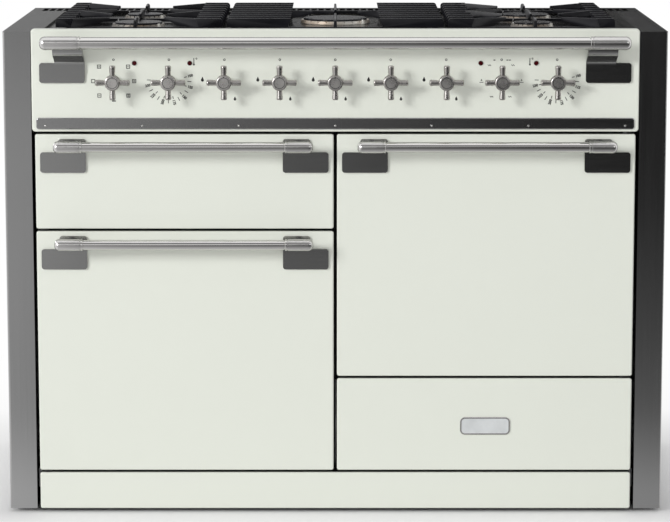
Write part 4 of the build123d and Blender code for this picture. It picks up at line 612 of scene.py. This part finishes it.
def thermostat_marks(bm, x, z, labels):
    """Numbers round a thermostat's knob, with a short tick inside each and a longer one after it."""
    first, last = 76.0, 258.0
    number_radius = 39.5 * MM
    number_size = 6.4 * MM
    tick_width = 1.3 * MM
    short_radius, short_length = 30.5 * MM, 5.0 * MM
    long_radius, long_length = 36.5 * MM, 7.2 * MM
    step = (last - first) / (len(labels) - 1)
    for index, label in enumerate(labels):
        px, pz, turned = clock(x, z, number_radius, first + index * step)
        spin = turned + math.pi if math.cos(turned) < 0 else turned
        ink_number(bm, label, px, pz, number_size, spin)
        px, pz, turned = clock(x, z, short_radius, first + index * step)
        ink(bm, stroke(px, pz, short_length, tick_width, turned))
        px, pz, turned = clock(x, z, long_radius, first + (index + 0.5) * step)
        ink(bm, stroke(px, pz, long_length, tick_width, turned))


def thermometer(bm, x, z):
    """A stem with a bulb, and a degree sign beside its top."""
    bulb_drop = 6.0 * MM
    degree_shift = 4.6 * MM
    ink(bm, stroke(x, z, length=11.5 * MM, width=1.5 * MM, angle=math.pi / 2))
    ink(bm, circle(x, z - bulb_drop, radius=1.7 * MM, count=14))
    ink_ring(bm, x + degree_shift, z + degree_shift, radius=1.6 * MM, width=0.9 * MM)


def function_marks(bm, x, z):
    """Small square signs for the oven functions, at stops of the selector, and a dash at the bottom."""
    # Each sign's clockwise angle from the top, and how many bars are in it.
    signs = ((45, 1), (90, 2), (135, 3), (225, 1), (270, 0), (315, 2))
    sign_radius = 37.0 * MM
    bar_pitch = 1.7 * MM
    dash_drop = 36.0 * MM
    for degrees, bars in signs:
        px, pz, _ = clock(x, z, sign_radius, degrees)
        ink_frame(bm, px, pz, size=7.2 * MM, width=1.2 * MM)
        for bar in range(bars):
            rise = (bar - (bars - 1) / 2) * bar_pitch
            ink(bm, stroke(px, pz + rise, length=3.6 * MM, width=0.9 * MM))
    ink(bm, stroke(x, z - dash_drop, length=7.0 * MM, width=2.2 * MM))


def grill_marks(bm, x, z):
    """Dashes and zigzags for the halves of the grill element, and a pointed dash at each side."""
    dash_rise = 38.0 * MM
    for across in (-13.0, 10.4, 14.8):
        ink(bm, stroke(x + across * MM, z + dash_rise, length=3.6 * MM, width=1.6 * MM))
    zigzag_pitch = 1.8
    zigzag_tilts = (-0.8, 0.8, -0.8)
    for across, rise in ((-22.0, 28.7), (20.5, 28.7), (-17.7, -28.2), (15.5, -28.2)):
        for index, tilt in enumerate(zigzag_tilts):
            px = x + (across + (index - 1) * zigzag_pitch) * MM
            ink(bm, stroke(px, z + rise * MM, length=3.2 * MM, width=1.1 * MM, angle=tilt))
    side_drop = 2.2 * MM
    point_half, point_low, point_high = 1.6 * MM, 0.6 * MM, 4.2 * MM
    for across in (-36.2, 36.2):
        px = x + across * MM
        ink(bm, stroke(px, z - side_drop, length=7.2 * MM, width=1.1 * MM))
        ink(bm, [(px - point_half, z + point_low), (px + point_half, z + point_low), (px, z + point_high)])


def add_dial_marks():
    """The signs round each knob."""
    for number in KNOB_NUMBERS:
        low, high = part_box(f"knob_{number}")
        x, z = (low.x + high.x) / 2, (low.z + high.z) / 2
        bm = bmesh.new()
        off_mark(bm, x, z)
        if number == FUNCTION_KNOB:
            function_marks(bm, x, z)
        elif number == GRILL_KNOB:
            grill_marks(bm, x, z)
        elif number in THERMOMETER_SHIFT:
            thermostat_marks(bm, x, z, THERMOSTAT_LABELS)
            thermometer(bm, x + THERMOMETER_SHIFT[number] * MM, z + THERMOMETER_RISE * MM)
        else:
            gas_marks(bm, x, z)
        add_piece(f"dial_marks_{number}", bm, INK, "cabinet")


# Other pieces


# A bar's share of its caps' diameter and the length of each cap, for the handrail and the handles.
RAIL_BAR_SHARE = 11.0 / 12.0
RAIL_CAP_LENGTH = 0.074
HANDLE_BAR_SHARE = 9.4 / 10.8
HANDLE_CAP_LENGTH = 0.052

# Grooves and rings where a bar meets its cap, as (drop below the radius, distance past the bar's end).
NECK_STEPS = ((0.0, -0.0004), (0.0012, 0.0), (0.0012, 0.0012))
RING_STEPS = (
    (0.0005, 0.0014),
    (0.0, 0.0019),
    (0.0, 0.0046),
    (0.0005, 0.0051),
    (0.0011, 0.0052),
    (0.0011, 0.0062),
    (0.0005, 0.0063),
    (0.0, 0.0068),
)
# The cap's own metal starts this far past the bar's end; its nose's radius is a share of the cap's.
CAP_START = 0.0052
CAP_NOSE_SHARE = 0.8

# A screw head with its socket, as shares of its radius.
SCREW_PROFILE = (
    (0.0, 0.2),
    (0.32, 0.2),
    (0.42, 0.75),
    (0.6, 0.72),
    (0.86, 0.5),
    (1.0, 0.18),
    (1.0, 0.0),
)

# The middle of the badge plate, and its steps as (width, height, corner, distance ahead of the drawer).
BADGE_X = 0.2752
BADGE_Z = 0.1634
BADGE_STEPS = (
    (0.092, 0.033, 0.009, 0.0),
    (0.092, 0.033, 0.009, 0.0016),
    (0.0908, 0.0318, 0.0084, 0.0022),
    (0.087, 0.028, 0.0065, 0.0022),
    (0.086, 0.027, 0.006, 0.0014),
)

# The side casings' front edge, and each burner's X, depth behind that edge and radius in mm.
FRONT_Y = -0.2705
BURNERS = (
    (-365.5, 171.5, 50),
    (-365.5, 374.5, 40),
    (0, 273, 66),
    (365.5, 374.5, 50),
    (365.5, 171.5, 40),
)
# Turned profiles of the electrodes, as (radius, height above their seat).
CERAMIC_STEM = (
    (0.0, -0.0005),
    (0.0034, -0.0005),
    (0.0034, 0.002),
    (0.0026, 0.0026),
    (0.0024, 0.0072),
    (0.0, 0.0078),
)
SPARK_PIN = ((0.0, 0.007), (0.0008, 0.007), (0.0008, 0.0105), (0.0, 0.011))
PROBE_PIN = (
    (0.0, -0.0005),
    (0.0024, -0.0005),
    (0.0024, 0.0025),
    (0.0015, 0.003),
    (0.0015, 0.0098),
    (0.0, 0.0108),
)

GRATE_EDGE = 0.0011


def add_knob_dots_and_groove_shade():
    """The dark dot on each knob's face, which points at the dial, and a dark ring of painted shade in the
    ring groove.
    """
    dot = [(0.0, 0.00012), (0.001, 0.00012), (0.0012, 0.0), (0.0012, -0.0004), (0.0, -0.0004)]
    # Painted shade: a dark ring laid in the knob's ring groove.
    ring = [(0.0091, -0.0007), (0.0099, -0.0007), (0.0099, -0.0005), (0.0091, -0.0005), (0.0091, -0.0007)]
    dot_rise = 0.0102
    for number in KNOB_NUMBERS:
        low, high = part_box(f"knob_{number}")
        centre = (low + high) / 2
        bm = bmesh.new()
        turn(bm, dot, (centre.x, low.y, centre.z + dot_rise), FORWARD, steps=20)
        turn(bm, ring, (centre.x, low.y, centre.z), FORWARD)
        add_piece(f"knob_dot_and_groove_shade_{number}", bm, INK, f"knob_{number}")


def add_bar(name, node, bar_share, cap_length):
    """A handle bar with ringed, bullet-nosed caps, in place of a CAD bar."""
    low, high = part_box(node)
    centre = (low + high) / 2
    half = (high.x - low.x) / 2
    cap = (high.z - low.z) / 2
    bar = cap * bar_share
    end = half - cap_length
    nose = cap * CAP_NOSE_SHARE
    side = [(bar, 0.0)]
    side += [(bar - drop, end + past) for drop, past in NECK_STEPS]
    side += [(cap - drop, end + past) for drop, past in RING_STEPS]
    side += arc(cap - nose, half - nose, nose, start=0, end=90, count=10)
    side.append((0.0, half))
    profile = [(radius, -along) for radius, along in reversed(side)] + side[1:]
    bm = bmesh.new()
    turn(bm, profile, centre, RIGHT, steps=64)
    for face in bm.faces:
        face.material_index = int(abs(face.calc_center_median().x - centre.x) > end + CAP_START)
    piece = add_piece(name, bm, MATERIALS["polished_metal"], BODY_OF[node], smooth=35.0)
    piece.data.materials.append(CAP_METAL)
    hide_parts(node)


def add_screw(bm, place, axis, radius):
    """A small round head with a socket."""
    profile = [(share * radius, rise * radius) for share, rise in SCREW_PROFILE]
    turn(bm, profile, place, axis, steps=20)


def add_strip_screws():
    """A row of small screws along the trim strip under the knobs."""
    count, pitch = 7, 0.1747
    rise = 0.0066
    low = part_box("fascia_trim_strip")[0]
    bm = bmesh.new()
    for index in range(count):
        x = (index - (count - 1) / 2) * pitch
        add_screw(bm, (x, low.y, low.z + rise), FORWARD, radius=0.0021)
    add_piece("strip_screws", bm, CAP_METAL, "cabinet")


def add_back_screws():
    """Screws up the sides and the seam of the back sheets, and along their top and bottom."""
    inset = 0.012
    seam_x = 0.458
    first_z, pitch = 0.06, 0.19
    edge_places = (-0.27, 0.0, 0.27)
    radius = 0.004
    low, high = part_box("back_panel")
    bm = bmesh.new()
    for x, count in ((low.x + inset, 5), (seam_x, 5), (high.x - inset, 4)):
        for step in range(count):
            add_screw(bm, (x, high.y, first_z + pitch * step), -FORWARD, radius)
    for x in edge_places:
        for z in (low.z + inset, high.z - inset):
            add_screw(bm, (x, high.y, z), -FORWARD, radius)
    add_piece("back_screws", bm, MATERIALS["chassis_steel"], "cabinet")


def add_flue_baffle():
    """A dark sheet under the end of the flue vent, above the gas inlet's open corner."""
    width, sheet = 0.086, 0.001
    gap = 2 * sheet
    low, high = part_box("rear_vent_trim")
    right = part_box("back_panel")[1].x
    outline = [
        (right - width, low.z),
        (right, low.z),
        (right, low.z + sheet),
        (right - width, low.z + sheet),
    ]
    bm = bmesh.new()
    plate(bm, outline, high.y - gap, high.y - low.y - 2 * gap)
    add_piece("flue_baffle", bm, FRAME_ENAMEL, "cabinet")


def add_badge():
    """A bare plate on the drawer, with a raised rim."""
    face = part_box("drawer_front")[0].y
    bm = bmesh.new()
    rings = []
    for width, height, corner, ahead in BADGE_STEPS:
        outline = rounded_box(BADGE_X, BADGE_Z, width, height, corner, count=8)
        rings.append([bm.verts.new((x, face - ahead, z)) for x, z in outline])
    for near, far in zip(rings, rings[1:]):
        count = len(near)
        for index in range(count):
            after = (index + 1) % count
            bm.faces.new((near[index], near[after], far[after], far[index]))
    bm.faces.new(rings[-1]).material_index = 1
    bm.faces.new(list(reversed(rings[0])))
    piece = add_piece("badge_plate", bm, CAP_METAL, "drawer", smooth=30.0)
    piece.data.materials.append(BADGE_FIELD)


def add_igniters():
    """A ceramic spark electrode beside each burner and, across the burner from it, a flame probe."""
    spark_angle, probe_angle = -45, 135
    gap = 7.0
    seat_rise = 0.016
    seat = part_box("burner_heads")[0].z + seat_rise
    ceramic = bmesh.new()
    pins = bmesh.new()
    for x, depth, radius in BURNERS:
        for angle, pin in ((spark_angle, SPARK_PIN), (probe_angle, PROBE_PIN)):
            reach = radius + gap
            px = (x + reach * math.cos(math.radians(angle))) * MM
            py = FRONT_Y + (depth + reach * math.sin(math.radians(angle))) * MM
            if pin is SPARK_PIN:
                turn(ceramic, CERAMIC_STEM, (px, py, seat), UP, steps=20)
            turn(pins, pin, (px, py, seat), UP, steps=16)
    add_piece("igniter_ceramics", ceramic, CERAMIC, "cabinet")
    add_piece("igniter_pins", pins, MATERIALS["wire_chrome"], "cabinet")


def soften(node, width):
    """Stands in for a CAD node with the same shape and slightly rounded edges."""
    weld_distance = 2e-6
    flat_angle = math.radians(1.0)
    sharp_angle = math.radians(35.0)
    bm = bmesh.new()
    bm.from_mesh(NODES[node].data)
    bmesh.ops.remove_doubles(bm, verts=bm.verts, dist=weld_distance)
    bmesh.ops.dissolve_limit(bm, angle_limit=flat_angle, verts=bm.verts, edges=bm.edges)
    sharp = [
        edge for edge in bm.edges if len(edge.link_faces) == 2 and edge.calc_face_angle(0.0) > sharp_angle
    ]
    bmesh.ops.bevel(
        bm, geom=sharp, offset=width, segments=2, profile=0.5, affect="EDGES", clamp_overlap=True
    )
    piece = add_piece(f"{node}_finish", bm, MATERIALS[SLOT_OF[node]], BODY_OF[node])
    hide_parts(node)


add_dial_marks()
add_knob_dots_and_groove_shade()
add_bar("handrail_bar", "handrail", RAIL_BAR_SHARE, RAIL_CAP_LENGTH)
add_bar("left_door_bar", "left_door_handle", HANDLE_BAR_SHARE, HANDLE_CAP_LENGTH)
add_bar("right_door_bar", "right_door_handle", HANDLE_BAR_SHARE, HANDLE_CAP_LENGTH)
add_bar("grill_bar", "grill_handle", HANDLE_BAR_SHARE, HANDLE_CAP_LENGTH)
add_strip_screws()
add_back_screws()
add_flue_baffle()
add_badge()
add_igniters()
for grate in ("left_pan_support", "centre_pan_support", "right_pan_support"):
    soften(grate, GRATE_EDGE)


# Camera, floor and light


# The cards' tones change over these stretches of X and Y.
CARD_FADE_X = (-2.0, 2.0)
CARD_FADE_Y = (-4.0, -0.45)


def look_at(obj, place, aim):
    """Puts a camera or lamp in the scene, facing a point."""
    obj.location = place
    direction = Vector(aim) - Vector(place)
    obj.rotation_euler = direction.to_track_quat("-Z", "Y").to_euler()
    bpy.context.scene.collection.objects.link(obj)


def add_camera():
    """The photograph's camera."""
    data = bpy.data.cameras.new("camera")
    data.lens = CAMERA_LENS
    data.sensor_width = SENSOR
    camera = bpy.data.objects.new("camera", data)
    look_at(camera, CAMERA_AT, CAMERA_AIM)
    bpy.context.scene.camera = camera


def add_area(name, place, aim, size, power):
    """A white rectangular lamp."""
    data = bpy.data.lights.new(name, "AREA")
    data.shape = "RECTANGLE"
    data.size, data.size_y = size
    data.energy = power
    look_at(bpy.data.objects.new(name, data), place, aim)


def add_sheet(name, corners):
    """A flat sheet with a new material, whose node tree is empty."""
    mesh = bpy.data.meshes.new(name)
    mesh.from_pydata(corners, [], [range(len(corners))])
    sheet = bpy.data.objects.new(name, mesh)
    bpy.context.scene.collection.objects.link(sheet)
    material = bpy.data.materials.new(name)
    material.use_nodes = True
    material.node_tree.nodes.clear()
    mesh.materials.append(material)
    return sheet, material.node_tree


def fade(tree, value, low, high, stops):
    """Grey tones along a value."""
    spread = tree.nodes.new("ShaderNodeMapRange")
    spread.inputs["From Min"].default_value = low
    spread.inputs["From Max"].default_value = high
    tree.links.new(value, spread.inputs["Value"])
    made = tree.nodes.new("ShaderNodeValToRGB")
    fill_ramp(made, [(position, (tone, tone, tone)) for position, tone in stops])
    tree.links.new(spread.outputs["Result"], made.inputs["Fac"])
    return made.outputs["Color"]


def background_ray(tree):
    """1 for a camera, glossy or transmission ray, else 0."""
    path = tree.nodes.new("ShaderNodeLightPath")
    total = path.outputs["Is Camera Ray"]
    for name in ("Is Glossy Ray", "Is Transmission Ray"):
        step = tree.nodes.new("ShaderNodeMath")
        step.operation = "MAXIMUM"
        tree.links.new(total, step.inputs[0])
        tree.links.new(path.outputs[name], step.inputs[1])
        total = step.outputs["Value"]
    return total


def add_floor():
    """A white floor that takes shadows near the cooker and glows more and more away from it."""
    reach = 30.0
    # Half the width and depth of the ground under the cooker, which does not glow.
    footprint = (0.6, 0.26, 0)
    white = (0.95, 0.95, 0.95, 1)
    glow_from, glow_to = 0.0, 1.0
    glow_shares = [(0.0, 0.0), (0.02, 0.08), (0.1, 0.45), (0.4, 0.9), (0.7, 0.97), (1.0, 1.0)]
    corners = [(-reach, -reach, 0), (reach, -reach, 0), (reach, reach, 0), (-reach, reach, 0)]
    floor, tree = add_sheet("floor", corners)
    diffuse = tree.nodes.new("ShaderNodeBsdfDiffuse")
    diffuse.inputs["Color"].default_value = white
    glow = tree.nodes.new("ShaderNodeEmission")
    glow.inputs["Strength"].default_value = 1.0
    coordinates = tree.nodes.new("ShaderNodeTexCoord")
    place = coordinates.outputs["Object"]
    for operation, value in (("ABSOLUTE", None), ("SUBTRACT", footprint), ("MAXIMUM", (0, 0, 0))):
        step = tree.nodes.new("ShaderNodeVectorMath")
        step.operation = operation
        tree.links.new(place, step.inputs[0])
        if value is not None:
            step.inputs[1].default_value = value
        place = step.outputs["Vector"]
    distance = tree.nodes.new("ShaderNodeVectorMath")
    distance.operation = "LENGTH"
    tree.links.new(place, distance.inputs[0])
    share = tree.nodes.new("ShaderNodeMath")
    share.operation = "MULTIPLY"
    tree.links.new(background_ray(tree), share.inputs[0])
    tree.links.new(fade(tree, distance.outputs["Value"], glow_from, glow_to, glow_shares), share.inputs[1])
    mix = tree.nodes.new("ShaderNodeMixShader")
    output = tree.nodes.new("ShaderNodeOutputMaterial")
    tree.links.new(share.outputs["Value"], mix.inputs["Fac"])
    tree.links.new(diffuse.outputs["BSDF"], mix.inputs[1])
    tree.links.new(glow.outputs["Emission"], mix.inputs[2])
    tree.links.new(mix.outputs["Shader"], output.inputs["Surface"])


def add_card(name, corners, stops, near=((0.0, 0.0), (1.0, 0.0))):
    """A grey studio card, unseen by the camera, that metal reflects.

    Its tone changes from left to right, and another is added towards the object.
    """
    card, tree = add_sheet(name, corners)
    card.visible_camera = False
    card.visible_diffuse = False
    card.visible_shadow = False
    coordinates = tree.nodes.new("ShaderNodeTexCoord")
    split = tree.nodes.new("ShaderNodeSeparateXYZ")
    tree.links.new(coordinates.outputs["Object"], split.inputs["Vector"])
    tone = tree.nodes.new("ShaderNodeMix")
    tone.data_type = "RGBA"
    tone.blend_type = "ADD"
    tone.inputs["Factor"].default_value = 1.0
    tree.links.new(fade(tree, split.outputs["X"], *CARD_FADE_X, stops), tone.inputs["A"])
    tree.links.new(fade(tree, split.outputs["Y"], *CARD_FADE_Y, near), tone.inputs["B"])
    glow = tree.nodes.new("ShaderNodeEmission")
    tree.links.new(tone.outputs["Result"], glow.inputs["Color"])
    output = tree.nodes.new("ShaderNodeOutputMaterial")
    tree.links.new(glow.outputs["Emission"], output.inputs["Surface"])


def add_cards():
    """Cards on the floor, before and behind the cooker, at its right and overhead."""
    half = 7.0
    far = -9.0
    near = -0.275
    lift = 0.002
    card_top = 2.4
    band_top = 4.2
    roof = 5.0
    flag_end = -2.7
    side_end = -2.5
    side_half = half + 2
    rear_top = 3.2
    rear_start, rear_end = 3.2, 6.5

    def between(first, last):
        """The corners of a card of full width between two edges, each at a (y, z) place."""
        return [(-half, *first), (half, *first), (half, *last), (-half, *last)]

    add_card(
        "floor_card",
        [(-half, near, lift), (-half, far, lift), (half, far, lift), (half, near, lift)],
        [(0.0, 0.52), (0.26, 0.47), (0.4, 0.14), (0.5, 0.13), (0.64, 0.042), (0.72, 0.016), (1.0, 0.01)],
        [(0.0, 0.0), (0.225, 0.05), (0.5, 0.06), (0.8, 0.12), (1.0, 0.36)],
    )
    add_card(
        "front_card",
        between((far, 0), (far, card_top)),
        [(0.0, 0.28), (0.3, 0.24), (0.5, 0.08), (0.7, 0.03), (1.0, 0.02)],
    )
    add_card(
        "front_band",
        between((far, card_top), (far, band_top)),
        [(0.0, 1.0), (0.4, 0.9), (0.5, 0.7), (0.75, 0.32), (1.0, 0.3)],
    )
    add_card(
        "front_flag",
        between((far, band_top), (flag_end, roof)),
        [(0.0, 0.25), (1.0, 0.25)],
    )
    add_card(
        "side_card",
        [(half, far, 0), (side_half, side_end, 0), (side_half, side_end, roof), (half, far, roof)],
        [(0.0, 0.05), (1.0, 0.05)],
    )
    add_card(
        "rear_card",
        between((-far, 0), (-far, rear_top)),
        [(0.0, 0.36), (0.25, 0.32), (0.75, 0.07), (1.0, 0.06)],
    )
    add_card(
        "rear_flag",
        between((rear_start, roof), (rear_end, roof)),
        [(0.0, 0.3), (1.0, 0.3)],
    )


def add_world():
    """White all round, at full strength where it is seen or reflected and less where it only lights."""
    lit_tone = (0.5, 0.5, 0.5, 1)
    seen_tone = (1, 1, 1, 1)
    world = bpy.data.worlds.new("studio")
    bpy.context.scene.world = world
    world.use_nodes = True
    tree = world.node_tree
    tree.nodes.clear()
    tone = tree.nodes.new("ShaderNodeMix")
    tone.data_type = "RGBA"
    tree.links.new(background_ray(tree), tone.inputs["Factor"])
    tone.inputs["A"].default_value = lit_tone
    tone.inputs["B"].default_value = seen_tone
    glow = tree.nodes.new("ShaderNodeBackground")
    glow.inputs["Strength"].default_value = 1.0
    tree.links.new(tone.outputs["Result"], glow.inputs["Color"])
    output = tree.nodes.new("ShaderNodeOutputWorld")
    tree.links.new(glow.outputs["Background"], output.inputs["Surface"])


add_camera()
add_floor()
add_cards()
add_world()
add_area("key", place=(-8.0, -8.2, 4.1), aim=(0, -0.2, 0.5), size=(2.8, 2.8), power=740.0)
add_area("fill", place=(4.5, -5.0, 2.7), aim=(0, -0.2, 0.4), size=(3.4, 2.4), power=30.0)

scene = bpy.context.scene
scene.view_settings.view_transform = "Standard"
